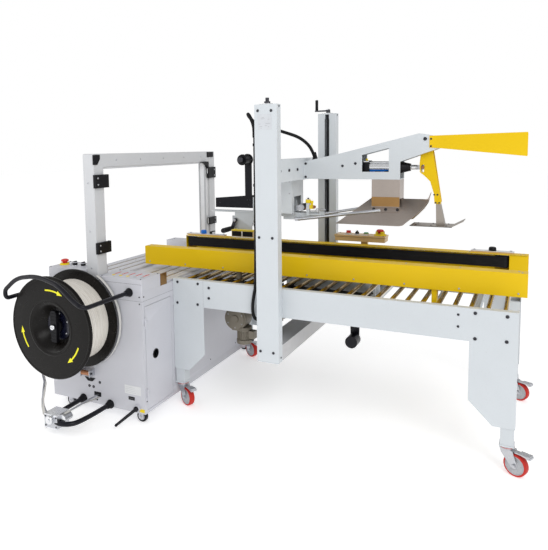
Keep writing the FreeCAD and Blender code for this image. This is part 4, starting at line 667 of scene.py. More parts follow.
def head_details():
    """Bolts and covers on the head beam and the boom, and the wing screws."""
    bolts = Shape("dark_steel")
    bolts.screw_pairs(((634, 1335), (634, 1262), (842.5, 1322), (912.6, 1335)), 394, 7)
    bolts.screw_pairs(((1267, 1457),), 394, 9)
    bolts.screw_pairs(((1296, 1456), (1296, 1420)), 391, 5)
    for x in (1016, 1078, 1138):
        for side, turn in ((-1, lambda y: y), (1, far)):
            upward = Vector((0, side * sin(SKI_SLOPE), cos(SKI_SLOPE)))
            foot = (x, turn(299 + 109 * cos(SKI_SLOPE) - 6 * sin(SKI_SLOPE)),
                    1022 + 109 * sin(SKI_SLOPE) + 6 * cos(SKI_SLOPE))
            bolts.bolt(*foot, upward, 8)
    for y in (60, 180, 300, far(300), far(180), far(60)):
        bolts.bolt(620, y, 1306, "X", 8)
        bolts.bolt(560, y, 1306, "-X", 8)
    bolts.finish("head_bolts", 0.2, "lifting_head")
    # Bronze bands low on the stainless bracket walls are painted reflection of the yellow covers.
    bands = Shape("painted_reflection")
    for y in (393.2, far(394)):
        bands.box(1000.5, y, 1110, 1144.5, y + 0.8, 1160)
    bands.finish("bracket_reflection_bands", 0.2, "lifting_head")
    plates = Shape("machine")
    plates.boxes((556.5, 14, 1252, 623.5, 28, 1360), (556.5, far(28), 1252, 623.5, far(14), 1360),
                 (556, 366, 1246, 621.5, far(366), 1248.5))
    plates.finish("beam_end_plates", 0.6, "lifting_head")


def cylinder_details():
    """Tie rods, caps, ports, switches and the blue band of the air cylinder."""
    z = 1313
    parts = Shape("plastic")
    parts.skin([[(x, MIDDLE + s * u, z + s * v) for u, v in ((-35.7, -28), (-35.7, 28), (-28, 35.7),
                 (28, 35.7), (35.7, 28), (35.7, -28), (28, -35.7), (-28, -35.7))]
                for x, s in ((947.6, 0.96), (950, 1.0), (979, 1.0), (981.4, 0.96))])
    parts.turned((1133, MIDDLE, z), "X", [(0, 31.8), (12, 31), (22, 27), (40, 22.5), (58, 18.6)], 40)
    parts.use("bright")
    for u, v in product((-25.5, 25.5), repeat=2):
        parts.turned((982, MIDDLE + u, z + v), "X", [(0, 3.4), (121, 3.4)], 12)
        parts.turned((1134, MIDDLE + u, z + v), "X", [(0, 5.4), (4, 5.4), (5, 4.4)], 6)
    for look, start, end, radius in (("blue", 22, 62, 33.6), ("dark_steel", 8, 14, 32.5)):
        steps = [start + (end - start) * i / 4 for i in range(5)]
        arc = [polar(radius, angle) for angle in steps] + [polar(31, angle) for angle in reversed(steps)]
        for side in (-1, 1):
            parts.use(look).skin([[(x, MIDDLE + side * u, z - v) for u, v in arc] for x in (982, 1103)])
    for x in (965, 1118):
        parts.use("amber").turned((x, MIDDLE - 18, z + 35), "Z", [(0, 7), (5, 7), (6, 5.5), (12, 5.5)], 6)
    for x in (1014, 1060):
        parts.use("plastic").box(x, MIDDLE - 40, z - 30, x + 26, MIDDLE - 30, z - 20)
    parts.finish("cylinder_details", 0.4, "lifting_head")


def kicker_details():
    """Bolts of the kicker and the rubber edge of its shoe."""
    parts = Shape("dark_steel")
    parts.screw_pairs(((1311, 1175), (1327, 1175), (1319, 1134), (1336, 1134)), 424, 4.5)
    for y, axis in ((400.2, "-Y"), (far(400.2), "Y")):
        parts.turned((1268, y, 1457), axis, [(-6, 14.5), (0.6, 14.5), (1.2, 13.5)], 32)
    parts.screws((1225, 1300, 1375), (405, 493), (1020,), "Z", 4)
    parts.finish("kicker_bolts", 0.2, "kicker")
    pin = Shape("copper")
    for y, axis in ((423, "-Y"), (far(423), "Y")):
        pin.turned((1253, y, 1313), axis, [(0, 8.5), (3, 8.5), (4.4, 7)], 24)
    pin.use("bright").turned((1168, MIDDLE, 1313), "X", [(24, 9), (26, 12.6), (46, 12.6), (48, 9)], 28)
    pin.finish("rod_pin_heads", 0.2, "piston")
    edge = Shape("plastic")
    edge.box(1197, 387, 1014.6, 1402, 511, 1017.2)
    edge.finish("kicker_shoe_pad", 0.5, "kicker")


def tape_head_details():
    """Rollers, springs, knobs, blade teeth and screws of the upper tape head."""
    parts = Shape("zinc")
    parts.screw_pairs(((470, 1115), (340, 1100), (320, 1050), (690, 1047), (560, 1048)), 411, 5)
    parts.screw_pairs(((445, 1235), (550, 1235), (445, 1075), (550, 1170)), 360, 4.5)
    parts.finish("tape_head_screws", 0.2, "lifting_head")
    rollers = Shape("plastic")
    for x, z, r in ((372, 1128, 13), (412, 1100, 11), (455, 1060, 12)):
        rollers.use("plastic").turned((x, 417, z), "Y", [
            (0, r * 0.7), (0, r), (3, r), (4, r - 1.5), (60, r - 1.5), (61, r), (64, r), (64, r * 0.7)], 28)
        rollers.use("bright").turned((x, 414, z), "Y", [(0, 4), (70, 4)], 14)
    rollers.finish("cassette_rollers", 0.3, "lifting_head")
    spring = Shape("zinc")
    for y in (398, far(398)):
        turns = [(662 + 0.5 * i, *(Vector((y, 1072)) + Vector(polar(6.5, 30 * i)))) for i in range(97)]
        spring.tube(turns, 1.3, 6)
        for x in (656, 706):
            spring.box(x, y - 3, 1058, x + 3, y + 3, 1076)
    spring.finish("return_springs", 0, "lifting_head")
    knob = Shape("amber")
    knob.turned((645, 402, 1116), "Z", [(0, 11), (2, 14.5), (18, 14.5), (22, 12)], 16)
    knob.use("dark_steel").turned((645, 402, 1138), "Z", [(0, 5), (7, 5), (8, 4)], 14)
    knob.use("amber").box(652, 396, 1084, 676, 416, 1104)
    knob.turned((664, 408, 1104), "Z", [(0, 7), (10, 7), (11, 9), (24, 9), (25, 6)], 20)
    knob.use("copper").turned((628, 404, 1084), "X", [(0, 6), (24, 6)], 18)
    knob.turned((684, 400, 1096), "-Y", [(0, 9), (12, 9), (13, 7)], 6)
    knob.finish("tension_knob", 0.5, "lifting_head")
    teeth = Shape("bright")
    outline = [(411 + 2 * i, 1016 if i % 2 else 1019) for i in range(39)]
    teeth.plate("YZ", [(411, 1040)] + outline + [(487, 1040)], 562, 563.2)
    teeth.finish("tape_blade_teeth", 0, "lifting_head")
    arm = Shape("dark_steel")
    arm.turned((235, 398, 1357), "-Y", [(-0.5, 15), (3, 17), (14, 17), (17, 14)], 14)
    for x, z in ((228, 1115), (245, 1115), (236, 1085), (40, 1095), (320, 1110)):
        arm.screw(x, 487, z, "-Y", 4.5)
    arm.finish("tape_arm_hardware", 0.4, "lifting_head")
    mandrel = Shape("plastic")
    for u, v in spokes(6, 0):
        rows = []
        for y, rise in ((412, 29), (430, 36), (462, 36), (477, 30)):
            base = Vector((235, y, 1357))
            rows.append([base + u * reach + v * s for reach, s in ((24, 3), (rise, 3), (rise, -3), (24, -3))])
        mandrel.skin(rows)
    mandrel.finish("mandrel_wings", 0.6, "tape_mandrel_body")
    grip = Shape("hose")
    for i in range(14):
        grip.turned((600, 411 + 5.5 * i, 1089), "Y", [(0, 18.4), (0.4, 19.6), (4.4, 19.6), (4.8, 18.4)], 36)
    grip.finish("pressure_roller_grooves", 0, "roller_arm_body")


def screw_details():
    """Grips and nuts of both lifting screws and of the width crank."""
    near = Shape("dark_steel")
    near.turned((591.5, -24.65, 1634.7), "Z", [(0, 11), (3, 11), (4, 10)], 24)
    near.turned((591.5, -24.65, 1650), "Z", [(0, 9.2), (12, 9.2), (13.5, 8)], 10)
    near.finish("near_screw_details", 0.3, "near_screw")
    nut = [(0, 11), (6, 11), (7.5, 9)]
    grip = Shape("plastic")
    grip.turned((516, far(-24.65), 1655), "Z", [(0, 8.7), (3, 9.4), (32, 9.0), (60, 9.4), (66, 7)], 28)
    grip.use("zinc").turned((591.5, far(-24.65), 1655.8), "Z", nut, 6)
    grip.finish("far_crank_grip", 0.3, "far_screw")
    crank = Shape("plastic")
    crank.turned((-85, 876, 878), "-Y", [(0, 13), (6, 16), (60, 17.4), (120, 17), (129, 14), (130.6, 9),
                                         (129.6, 5)], 32)
    crank.use("zinc").turned((-62, 878, 935), "-Y", [(-1, 11)] + nut[1:], 6)
    crank.finish("width_crank_grip", 0.3, "width_handle")


# ---- strapping machine ----

def cabinet_details():
    """Seams, sockets, labels, keys, screws and louvres of the strapper cabinet and its door."""
    seams = Shape("seam")
    seams.boxes((-631, -285.8, 652, -1, -285.3, 653.4), (-1.3, -285, 652, -0.7, 995, 653.4),
                (-631.3, -285, 652, -630.7, 995, 653.4), (-631, 994.8, 652, -1, 995.3, 653.4))
    seams.finish("cabinet_seams", 0)
    parts = Shape("plastic")
    parts.boxes((-338, -287.6, 98, -292, -285.5, 122), (-333, -288.8, 103, -297, -287.6, 117),
                (-107, -287.2, 119, -68, -285.5, 137))
    for x, z in ((-371, 148), (-342, 147), (-297, 178)):
        parts.turned((x, -285.5, z), "-Y", [(0, 7.5), (2, 7.5), (3, 6), (3, 3), (0, 3)], 24, True)
    for x in (-360, -335, -320):
        parts.turned((x, -285.5, 78), "-Y", [(0, 5), (2.4, 4.6), (3, 3)], 18)
    # The near-black patch on the socket face is painted shade in its opening.
    parts.use("shade_and_print").box(-104, -287.5, 124, -71, -287.1, 132)
    parts.finish("cabinet_sockets", 0.4)
    labels = Shape("label")
    labels.box(-131, -286, 150, -26, -285.4, 197)
    for i in range(4):
        labels.use("grey").box(-124, -286.2, 158 + 9 * i, -60 - 6 * (i % 2), -285.9, 159.2 + 9 * i)
    labels.use("amber").box(-38, -286, 62, -6, -285.4, 80)
    labels.finish("cabinet_labels", 0.1)
    keys = Shape("red")
    for i in range(5):
        x = -225 + 46 * i
        keys.use("red").box(x - 5, -213, 766.9, x + 5, -160, 767.5)
        keys.use("amber" if i < 3 else "grey").turned(
            (x + 10, -237, 766.9), "Z", [(0, 9), (1.6, 9), (2, 8)], 24)
    keys.finish("lid_keypad", 0.1)
    screws = Shape("dark_steel")
    for y, axis in ((-285.5, "-Y"), (995, "Y")):
        screws.screws((-615, -320, -17), (y,), (676, 640), axis, 4)
    for x, axis in ((-1, "X"), (-631, "-X")):
        screws.screws((x,), (-270, 60, 400, 740, 980), (676, 120), axis, 4)
    screws.screws((-262, -12), (-276, -124), (767,), "Z", 4)
    screws.screws((-622, -362), (-276, -124), (788,), "Z", 4)
    screws.screws((-600, -320, -30), (940,), (767,), "Z", 4)
    screws.finish("cabinet_screws", 0.15)
    vents = Shape("cabinet")
    levels = range(250, 475, 28)
    for z in levels:
        vents.boxes((-634.5, 80, z, -630.8, 280, z + 4), (-440, 994.8, z, -190, 998.5, z + 4))
    # Near-black strips under each louvre blade are painted shade.
    for z in levels:
        vents.use("shade_and_print").boxes((-631.4, 80, z - 5, -630.8, 280, z), (-440, 994.8, z - 5, -190, 995.4, z))
    vents.finish("cabinet_louvres", 0.5)
    door = Shape("plastic")
    door.turned((-1, -179, 350), "X", [(-4, 23), (-4, 26), (1.6, 26), (2.2, 23.5), (1.6, 20.5), (-4, 20.5)],
                40, True)
    door.use("cabinet").boxes((-18, -255, 82, -4, -252, 614), (-18, -36, 82, -4, -33, 614),
                              (-18, -255, 611, -4, -33, 614))
    door.finish("door_details", 0.5, "door")


def cabinet_machinery():
    """What an open door shows: the feed motor, its belt, the power block and the wiring duct."""
    inside = Shape("motor")
    inside.turned((-190, -40, 190), "Y", [(0, 52), (6, 58), (120, 58), (126, 50), (150, 50)], 36)
    inside.box(-250, -40, 103, -130, 90, 140)
    inside.use("plastic").turned((-190, -58, 190), "Y", [(0, 30), (3, 34), (12, 34), (15, 30)], 36)
    inside.use("dark_steel").turned((-190, -58, 420), "Y", [(0, 62), (3, 66), (12, 66), (15, 62)], 44)
    for s in (1, -1):
        inside.use("belt").plate("XZ", [(-190 + s * u, 190 + v) for u, v in ((34, 0), (66, 230), (63, 230),
                                                                            (31, 0))], -52, -44)
    inside.use("machine").box(-330, -36, 140, -60, -30, 560)
    inside.use("white").box(-150, -24, 300, -70, 60, 420)
    inside.use("grey").box(-330, -24, 470, -70, 10, 520)
    inside.use("copper").turned((-110, -24, 250), "Y", [(0, 22), (40, 22), (42, 18)], 28)
    inside.finish("strapper_machinery", 0.8)


def table_details():
    """Slat screws, table rollers, the end plate and the console's lamps and switches."""
    slats = Shape("zinc")
    for start in (-250, -604):
        slats.screws(range(start, start + 211, 70), (-100, 380, 866), (712,), "Z", 4)
    slats.finish("slat_screws", 0.1)
    rollers = Shape("roller")
    for x in (-215, -145, -75, -569, -499, -429):
        rollers.turned((x, -104, 703), "Y", [(0, 3), (0, 7.5), (974, 7.5), (974, 3)], 20)
    rollers.finish("table_rollers", 0.3)
    # The plate's bronze tone is painted yellow reflection on stainless.
    edge = Shape("painted_reflection")
    edge.boxes((-2, -113.8, 702, 1.2, -60, 765), (-70, -114.6, 700, -1, -112.6, 765))
    edge.finish("table_end_plate", 0.3)
    console = Shape("amber")
    console.turned((-590, -200, 788), "Z", [(0, 29), (3, 29), (8.6, 25.5), (8.6, 15), (0, 15)], 40, True)
    for x, r in ((-545, 12), (-515, 17), (-456, 17)):
        console.use("bright").turned((x, -200, 788), "Z", [(0, r), (3, r), (4, r - 2)], 32)
    console.use("white").turned((-545, -200, 797), "Z", [(0, 8.6), (4, 8.6), (6, 6)], 24)
    for x in (-515, -456):
        console.use("plastic").turned((x, -200, 792), "Z", [(0, 13.8), (12, 13.2), (17.4, 11)], 14)
        console.box(x - 3, -212, 806, x + 3, -188, 812)
    console.use("label").box(-612, -172, 787.8, -372, -140, 788.5)
    # The two thin near-black strips on the cabinet front are painted shade lines.
    console.use("shade_and_print").boxes((-630.4, -285.8, 727, -353.6, -285.3, 728.2),
                                (-272.4, -285.8, 740, -1.6, -285.3, 741.2))
    console.finish("console_details", 0.3)


def arch_details():
    """Black clamps, corner gussets, bolts and the strap flaps of the arch."""
    blocks = Shape("plastic")
    for z0, z1 in ((1228, 1298), (880, 940)):
        blocks.boxes((-284, -290, z0, -266, -184, z1), (-284, -208, z0 + 6, -346, -184, z1 - 6))
    blocks.boxes((-284, 893, 1222, -266, 990, 1298), (-284, 893, 895, -266, 990, 944),
                 (-282, 892, 1368, -274, 972, 1404))
    blocks.plate("YZ", [(-290, 1350), (-262, 1350), (-240, 1380), (-240, 1402), (-290, 1402)], -283, -274)
    blocks.plate("YZ", [(800, 1338), (884, 1338), (893, 1330), (893, 1286), (862, 1316)], -284, -266)
    blocks.finish("arch_clamps", 1.0)
    bolts = Shape("zinc")
    bolts.screws((-266,), (-272,), (1246, 1280, 895, 925), "X", 5)
    bolts.screws((-266,), (968,), (1240, 1280, 908, 932), "X", 5)
    bolts.screws((-322,), (-285.5,), (1255, 1000, 804), "-Y", 5)
    bolts.screws((-322,), (995,), (1255, 1000, 804), "Y", 5)
    for x, axis in ((-280.5, "X"), (-351.5, "-X")):
        bolts.screws((x,), (-100, 120, 355, 590, 810), (1372,), axis, 4.5)
    bolts.finish("arch_bolts", 0.2)
    track = Shape("grey")
    for x in (-343, -300):
        track.boxes((x, -202.2, 770, x + 11, -200.2, 1326), (x, -200, 1326.5, x + 11, 880, 1328.3),
                    (x, 880.6, 770, x + 11, 882.6, 1326))
    # Near-black lines across the flaps are painted shade in the gaps between them.
    for z in range(800, 1265, 58):
        track.use("shade_and_print").box(-341, -201.8, z, -291, -201.2, z + 1.5)
    track.finish("track_flaps", 0.3)


def reel_details():
    """Rim beads, ribs, rotation arrows, hub screws and the wound strap of the reel."""
    x, z = -400, 533
    face = Shape("reel")
    for y, axis in ((-522, "-Y"), (-316, "Y")):
        face.turned((x, y, z), axis, [(-0.5, 262), (1.4, 260), (2.2, 256), (1.4, 252), (-0.5, 250)], 96, True)
        face.turned((x, y, z), axis, [(-0.5, 146), (1.2, 144), (2, 139), (1.2, 135), (-0.5, 134)], 72, True)
    for u, v in spokes(12, 15):
        face.skin([[Vector((x, y, z)) + u * radius + v * s for s, y in
                    ((-3, -316.5), (-1.5, -312.5), (1.5, -312.5), (3, -316.5))] for radius in (150, 246)])
    face.finish("reel_mouldings", 0.4, "reel_set")
    hub = Shape("glossy")
    hub.turned((x, -522, z), "Y", [(7.5, 119.5), (57, 79), (60.6, 76), (60.6, 14), (61.9, 14), (62.1, 76),
                                   (58, 80.6), (8, 121)], 72, True)
    for i in range(6):
        u, w = polar(62, 22 + 60 * i)
        hub.use("bright").screw(x + u, -461.4, z + w, "-Y", 4.5)
    hub.finish("reel_hub_liner", 0.3, "reel_set")
    arrows = Shape("arrow")
    for start in (97, 217, 337):
        sweep = [start - 24 * i / 14 for i in range(15)]
        outline = [polar(200, angle) for angle in sweep]
        outline += [polar(208, start - 24), polar(196, start - 34), polar(184, start - 24)]
        outline += [polar(192, angle) for angle in reversed(sweep)]
        arrows.plate("XZ", [(x + u, z + w) for u, w in outline], -522.7, -521.9)
    arrows.finish("reel_arrows", 0, "reel_set")
    knob = Shape("plastic")
    for level in (-70, -53, -36, 32, 49, 66):
        knob.box(x - 19, -502.2, z + level, x + 19, -500, z + level + 5)
    knob.use("bright").turned((x, -507, z), "-Y", [(0, 13.5), (2, 14), (5, 12), (6, 8)], 28)
    # The near-black bar on the knob cap is a painted shade slot.
    knob.use("shade_and_print").box(x - 9, -513.4, z - 1.3, x + 9, -512.6, z + 1.3)
    knob.finish("lock_knob_details", 0.6, "lock_knob")
    coil = Shape("strap")
    profile = [(0, 140)]
    for i in range(14):
        start = 1 + 12.6 * i
        lift = (0.0, 0.8, -0.5, 0.4)[i % 4]
        profile += [(start, 212), (start + 0.5, 214 + lift), (start + 11.4, 214 + lift), (start + 12, 212)]
    coil.turned((x, -508, z), "Y", profile + [(178, 140)], 128, True)
    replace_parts(coil.finish("wound_strap", 0, "reel_set"), "strap_coil")


def ribbon_rows():
    """Cross sections of the strap that falls from the coil, turns and runs into the guide."""
    path = [(-609.5, -446, 480), (-574, -446, 342), (-545, -444, 232), (-541, -438, 190), (-550, -440, 145),
            (-557, -446, 100), (-553, -452, 62), (-536, -462, 36), (-504, -478, 27), (-462, -494, 34),
            (-425, -508, 48), (-398, -518, 62)]
    for i, point in enumerate(path):
        ahead = (Vector(path[min(i + 1, len(path) - 1)]) - Vector(path[max(i - 1, 0)])).normalized()
        turn = min(1.0, i / 4) * 0.9
        across = Vector((sin(turn), cos(turn), 0))
        across = (across - ahead * across.dot(ahead)).normalized()
        normal = ahead.cross(across)
        yield [Vector(point) + across * s * 7.75 + normal * t * 0.5
               for s, t in ((-1, -1), (1, -1), (1, 1), (-1, 1))]


def strap_details():
    """The strap ribbon from the coil to the guide, the guide's rollers and the inlet parts."""
    ribbon = Shape("film")
    ribbon.skin(list(ribbon_rows()))
    ribbon.skin([[(px, y, pz + t) for px, t in ((-316, -0.5), (-300, -0.5), (-300, 0.5), (-316, 0.5))]
                 for y, pz in ((-545, 112.2), (-420, 110), (-330, 97), (-286, 93))])
    ribbon.finish("strap_ribbon", 0)
    loop = Shape("film")
    rows = []
    for i in range(41):
        reach = 269.5 - (max(0, i - 32) ** 2) * 0.35
        ends = [polar(reach, 62 - 4.2 * i), polar(reach + 0.8, 62 - 4.2 * i)]
        rows.append([(u - 400, y, w + 533) for (u, w), y in zip(ends[:1] * 2 + ends[1:] * 2,
                                                                (-311, -295, -295, -311))])
    loop.skin(rows)
    loop.finish("strap_feed_loop", 0)
    guide = Shape("bright")
    for y, axis in ((-561, "-Y"), (-512, "Y")):
        guide.turned((-308, y, 92), axis, [(0, 21), (2, 21.5), (3, 19)], 32)
    guide.turned((-364, -584, 88), "-Y", [(0, 21), (3, 22), (14, 22), (17, 20)], 36)
    guide.turned((-364, -584, 88), "-Y", [(17, 9), (21, 8)], 18)
    guide.boxes((-407.6, -585, 38.6, -321.4, -499.4, 44), (-407.6, -585, 108, -321.4, -499.4, 113))
    guide.use("dark_steel").screws((-399, -330), (-584,), (52, 99), "-Y", 4.5)
    guide.use("plastic").box(-430.6, -561, 41.5, -406, -435.4, 43)
    for y, axis in ((-562, "-Y"), (-437, "Y")):
        guide.turned((-419, y, 33), axis, [(0, 10.5), (2, 10.5), (3, 8)], 24)
    guide.finish("strap_guide_parts", 0.5)
    inlet = Shape("copper")
    inlet.turned((-391, -316, 232), "X", [(0, 10), (0, 13.8), (4, 13.8), (6, 13.2), (50, 13.2), (52, 13.8),
                                          (56, 13.8), (56, 10)], 36)
    for x, axis in ((-397, "-X"), (-329, "X")):
        inlet.use("dark_steel").turned((x, -316, 232), axis, [(0, 6), (4, 6), (5, 4.6)], 6)
    inlet.use("plastic").plate("XZ", [(-400, 196), (-326, 196), (-348, 176), (-378, 176)], -289, -285.5)
    inlet.finish("inlet_roller_parts", 0.4)


def tube_details():
    """Moulded sockets of the guard tube and the bumper tube, and the bumper tube itself."""
    for name, x, z, r in (("guard", -79, 696, 11), ("bumper_left", -415, 70, 12.5),
                          ("bumper_right", -230, 70, 12.5)):
        socket = Shape("plastic")
        socket.turned((x, -285.6, z), "-Y", [
            (0, r + 12), (3, r + 12.5), (8, r + 10), (14, r + 8), (22, r + 5), (28, r + 4.5),
            (34, r + 1.6), (34, r - 0.5), (0, r - 0.5)], 40, True)
        socket.finish("socket_" + name, 0.4)
    bumper = Shape("black")
    line = [(-415, -286, 70), (-415, -503, 70), (-372, -573, 70), (-273, -573, 70), (-230, -503, 70),
            (-230, -286, 70)]
    bumper.tube([machine_point(p) for p in smooth_line("bumper_line", line)], 12.5, 24)
    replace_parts(bumper.finish("smooth_bumper", 0), "bumper_tube")
    clamp = Shape("zinc")
    clamp.screws((-645,), (-262,), (666, 682), "-Y", 4)
    clamp.box(-658, -263, 659, -630.6, -259, 689)
    clamp.finish("guard_clamp_parts", 0.5)


# ---- casters ----

UP = AXES["Z"]
CASTER_AHEAD = Vector((*polar(1, -25), 0))
CASTER_ACROSS = Vector((*polar(1, 65), 0))


def bed_wheel(centre):
    """A red tread on a grey hub with six pins on each face."""
    wheel = Shape("tread")
    wheel.turned(centre, CASTER_ACROSS, [
        (-15, 41), (-16.2, 44), (-15, 47.6), (-11, 50.0), (-4, 50.2), (4, 50.2), (11, 50.0), (15, 47.6),
        (16.2, 44), (15, 41)], 64, True)
    wheel.use("grey").turned(centre, CASTER_ACROSS, [
        (-16, 40), (-14.5, 42), (14.5, 42), (16, 40), (12, 37), (11, 20), (16.6, 14), (16.6, 6.4),
        (-16.6, 6.4), (-16.6, 14), (-11, 20), (-12, 37)], 48, True)
    for i, end in product(range(6), (-1, 1)):
        u, w = polar(27, 60 * i)
        pin = centre + CASTER_AHEAD * u + UP * w + CASTER_ACROSS * 10.8 * end
        wheel.turned(pin, CASTER_ACROSS * end, [(0, 3.6), (2.2, 3)], 12)
    return wheel


def bed_yoke(top, centre):
    """Axle nuts, the swivel bearing with its red seal and the ribbed brake pedal."""
    yoke = Shape("zinc")
    for end in (-1, 1):
        yoke.turned(centre + CASTER_ACROSS * 20.5 * end, CASTER_ACROSS * end,
                    [(0, 9.5), (1.4, 9.5), (1.4, 8.8), (6.4, 8.8), (7.4, 7.2)], 6)
    yoke.turned(top + UP * 111.8, "Z", [(0, 30.8), (2, 32.2), (5, 32.2), (7, 29)], 48)
    yoke.use("tread").turned(top + UP * 118.6, "Z", [(0, 31.4), (2.4, 31.4)], 48)
    yoke.use("zinc").skin([
        [top + CASTER_AHEAD * reach + CASTER_ACROSS * s + UP * h
         for s, h in ((-18, low), (18, low), (18, high), (-18, high))]
        for reach, low, high in ((58, 108, 111), (84, 104, 111), (108, 97, 106))])
    for reach in (88, 95, 102):
        middle = top + CASTER_AHEAD * reach + UP * (109.6 - (reach - 88) * 0.2)
        yoke.tube([middle - CASTER_ACROSS * 15, middle + CASTER_ACROSS * 15], 1.6, 8)
    return yoke


def bed_casters():
    """Wheels and yoke details of the four bed casters."""
    for (name, x), (side, y) in product((("outfeed", 31.5), ("infeed", 1688.5)),
                                        (("near", 31.5), ("far", far(31.5)))):
        label = name + "_" + side
        top = Vector((x, y, 0))
        centre = top + UP * 50 + CASTER_AHEAD * 42
        wheel = bed_wheel(centre).finish("wheel_" + label, 0.3, label + "_roller")
        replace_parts(wheel, label + "_wheel")
        bed_yoke(top, centre).finish("yoke_details_" + label, 0.5, label + "_fork")


def strapper_caster_details():
    """Hub caps and axle nuts of the strapper wheels."""
    for (end, y), (side, x) in product((("front", -256), ("back", 955)), (("right", -42), ("left", -525))):
        name = end + "_" + side
        hub = Shape("grey")
        nuts = Shape("zinc")
        for s, axis in ((-1, "-Y"), (1, "Y")):
            hub.turned((x, y + 11 * s, 30), axis, [(-1, 20), (0.8, 19), (1.4, 12), (0.6, 7)], 32)
            nuts.turned((x, y + 16 * s, 30), axis, [(0, 7), (4, 7), (5, 5.6)], 6)
        hub.finish("strapper_hub_" + name, 0.3, "strapper_roller_" + name)
        nuts.finish("strapper_axle_nuts_" + name, 0.2)


# ---- hoses ----

COLUMN_ROUTE = [(521, -22, 1480), (521, -22, 745), (502, -22, 668), (495, -22, 604), (501, -15, 553),
                (518, 26, 536), (530, 95, 541)]
HEAD_ROUTE = [(521, -22, 1481), (518, -22, 1530), (488, -6, 1582), (450, 45, 1600), (432, 108, 1580),
              (452, 162, 1546), (518, 192, 1526), (588, 224, 1502), (632, 290, 1480), (655, 355, 1448),
              (667, 410, 1408), (669, 449, 1362)]


def smooth_line(name, route):
    """Points in the row frame along the NURBS spline that a route controls."""
    data = bpy.data.curves.new(name, "CURVE")
    data.dimensions = "3D"
    data.resolution_u = 24
    spline = data.splines.new("NURBS")
    spline.points.add(len(route) - 1)
    for point, place in zip(spline.points, route):
        point.co = (*at(*place), 1)
    spline.order_u = 3
    spline.use_endpoint_u = True
    item = new_object(name, data)
    mesh = bpy.data.meshes.new_from_object(item)
    points = [vertex.co.copy() for vertex in mesh.vertices]
    bpy.data.meshes.remove(mesh)
    bpy.data.objects.remove(item)
    return points


def machine_point(point):
    """A point of the row frame in metres as machine millimetres."""
    return Vector((point.x * 1000 + ORIGIN_X, point.y * 1000 + ORIGIN_Y, point.z * 1000))


def even_points(points, step):
    """Walk along a line of points and return points a step apart."""
    found = [points[0]]
    left = step
    for before, after in zip(points, points[1:]):
        run = (after - before).length
        done = 0.0
        while run - done >= left:
            done += left
            found.append(before.lerp(after, done / run))
            left = step
        left -= run - done
    return found


def hose_piece(name, route, step=0.0022):
    """A corrugated hose along a route; returns the piece's builder and its centreline."""
    line = even_points(smooth_line(name + "_line", route), step)
    radii = [8.9 if i % 2 else 7.8 for i in range(len(line))]
    hose = Shape("hose")
    hose.tube([machine_point(p) for p in line], radii, 16)
    return hose, line


def hoses():
    """The cable hose clipped to the column and its free loop over to the moving boom."""
    hose, line = hose_piece("column_hose", COLUMN_ROUTE)
    column = hose.finish("column_cable_hose", 0)
    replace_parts(column, "column_hose")
    clips = Shape("plastic")
    for z in (1440, 1240, 1040, 860, 770):
        clips.turned((521, -22, z), "Z", [(-7, 9.2), (-7, 11.4), (7, 11.4), (7, 9.2)], 24, True)
        clips.box(529, -26, z - 6, 533, -18, z + 6)
    clips.turned((530, 88, 540.7), "Y", [(0, 9.4), (0, 13), (6, 14), (10, 14), (10, 9.4)], 28, True)
    clips.finish("hose_clips", 0.4)
    hose, line = hose_piece("head_hose", HEAD_ROUTE)
    loop = hose.finish("head_cable_hose", 0, None)
    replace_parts(loop, "head_hose")
    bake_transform(loop)
    relief = Shape("plastic")
    relief.tube([(521, -22, 1476), (520.4, -22, 1490), (519.7, -21.8, 1500), (518.4, -21, 1510),
                 (516, -20, 1520)], [11.5, 11.5, 10.6, 10, 9.3], 24)
    relief.finish("hose_relief_column", 0.3)
    gland = Shape("plastic")
    gland.tube([(669, 449, 1344), (669, 449, 1364), (668.6, 448.5, 1374), (667.3, 447, 1386),
               (665.6, 445, 1396)], [15.5, 14, 11.6, 10.4, 9.3], 24)
    gland.turned((669, 449, 1346), "Z", [(0, 17), (8, 17), (9, 15.5)], 6)
    gland.finish("hose_relief_boom", 0.3, "lifting_head")


def details():
    """Every detail piece of the line."""
    for make in (
            hoses, panel_details, roller_details, column_details, cover_details, motor_details,
            control_box_details, bed_underside_details, head_details, cylinder_details, kicker_details,
            tape_head_details, screw_details, cabinet_details, cabinet_machinery, table_details, arch_details,
            reel_details, strap_details, tube_details, bed_casters, strapper_caster_details):
        make()


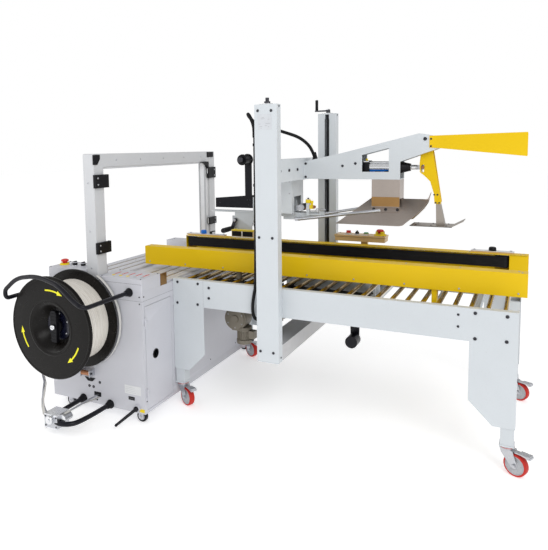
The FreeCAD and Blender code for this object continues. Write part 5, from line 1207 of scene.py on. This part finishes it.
def floor_and_light():
    """A plain pale floor, a white surround and soft light from the operator's side."""
    bpy.ops.mesh.primitive_plane_add(size=60, location=(0, 0, 0))
    floor = bpy.context.object
    floor.name = "studio_floor"
    paint = Finish("floor_paint", (0.93, 0.93, 0.93), 0.8)
    tone = paint.mix(paint.noise(0.4), (0.93, 0.93, 0.93), (0.92, 0.92, 0.92))
    paint.set(paint.shader, Base_Color=tone, Specular_IOR_Level=0.1, Emission_Color=(1, 1, 1),
              Emission_Strength=0.40)
    floor.data.materials.append(paint.material)
    world = bpy.data.worlds.new("studio")
    bpy.context.scene.world = world
    world.use_nodes = True
    tree = world.node_tree
    blend = tree.nodes.new("ShaderNodeMixShader")
    seen = tree.nodes.new("ShaderNodeLightPath")
    tree.links.new(seen.outputs["Is Camera Ray"], blend.inputs["Fac"])
    light = tree.nodes["Background"]
    backdrop = tree.nodes.new("ShaderNodeBackground")
    for slot, node, strength in ((1, light, 0.65), (2, backdrop, 1.0)):
        node.inputs["Color"].default_value = (1, 1, 1, 1)
        node.inputs["Strength"].default_value = strength
        tree.links.new(node.outputs["Background"], blend.inputs[slot])
    tree.links.new(blend.outputs["Shader"], tree.nodes["World Output"].inputs["Surface"])
    add_light("key", (3.4, -3.6, 4.2), (0.1, 0, 0.7), 118)
    add_light("fill", (-4.2, -3.2, 2.6), (0, 0, 0.7), 48)


def new_object(name, data):
    item = bpy.data.objects.new(name, data)
    bpy.context.scene.collection.objects.link(item)
    return item


def add_light(name, place, target, power):
    """A square soft light, 3 m wide, that looks at a target."""
    data = bpy.data.lights.new(name, "AREA")
    data.energy = power
    data.size = 3.0
    lamp = new_object(name, data)
    lamp.location = place
    lamp.rotation_euler = (Vector(target) - Vector(place)).to_track_quat("-Z", "Y").to_euler()


def camera():
    """The camera where the operator stands, a little past the infeed side."""
    data = bpy.data.cameras.new("camera")
    data.lens = 37.8
    data.sensor_width = 36.0
    data.shift_x = 0.0653
    data.shift_y = -0.1218
    data.clip_end = 100
    item = new_object("camera", data)
    turn = Matrix.Identity(4)
    for axis, angle in (("Z", 26.9), ("X", 84.2), ("Z", -0.9)):
        turn = turn @ Matrix.Rotation(radians(angle), 4, axis)
    item.matrix_world = Matrix.Translation(at(1743.4, -2625.9, 1419.0)) @ turn
    bpy.context.scene.camera = item


dress_nodes()
details()
floor_and_light()
camera()
bpy.context.scene.view_settings.view_transform = "Standard"
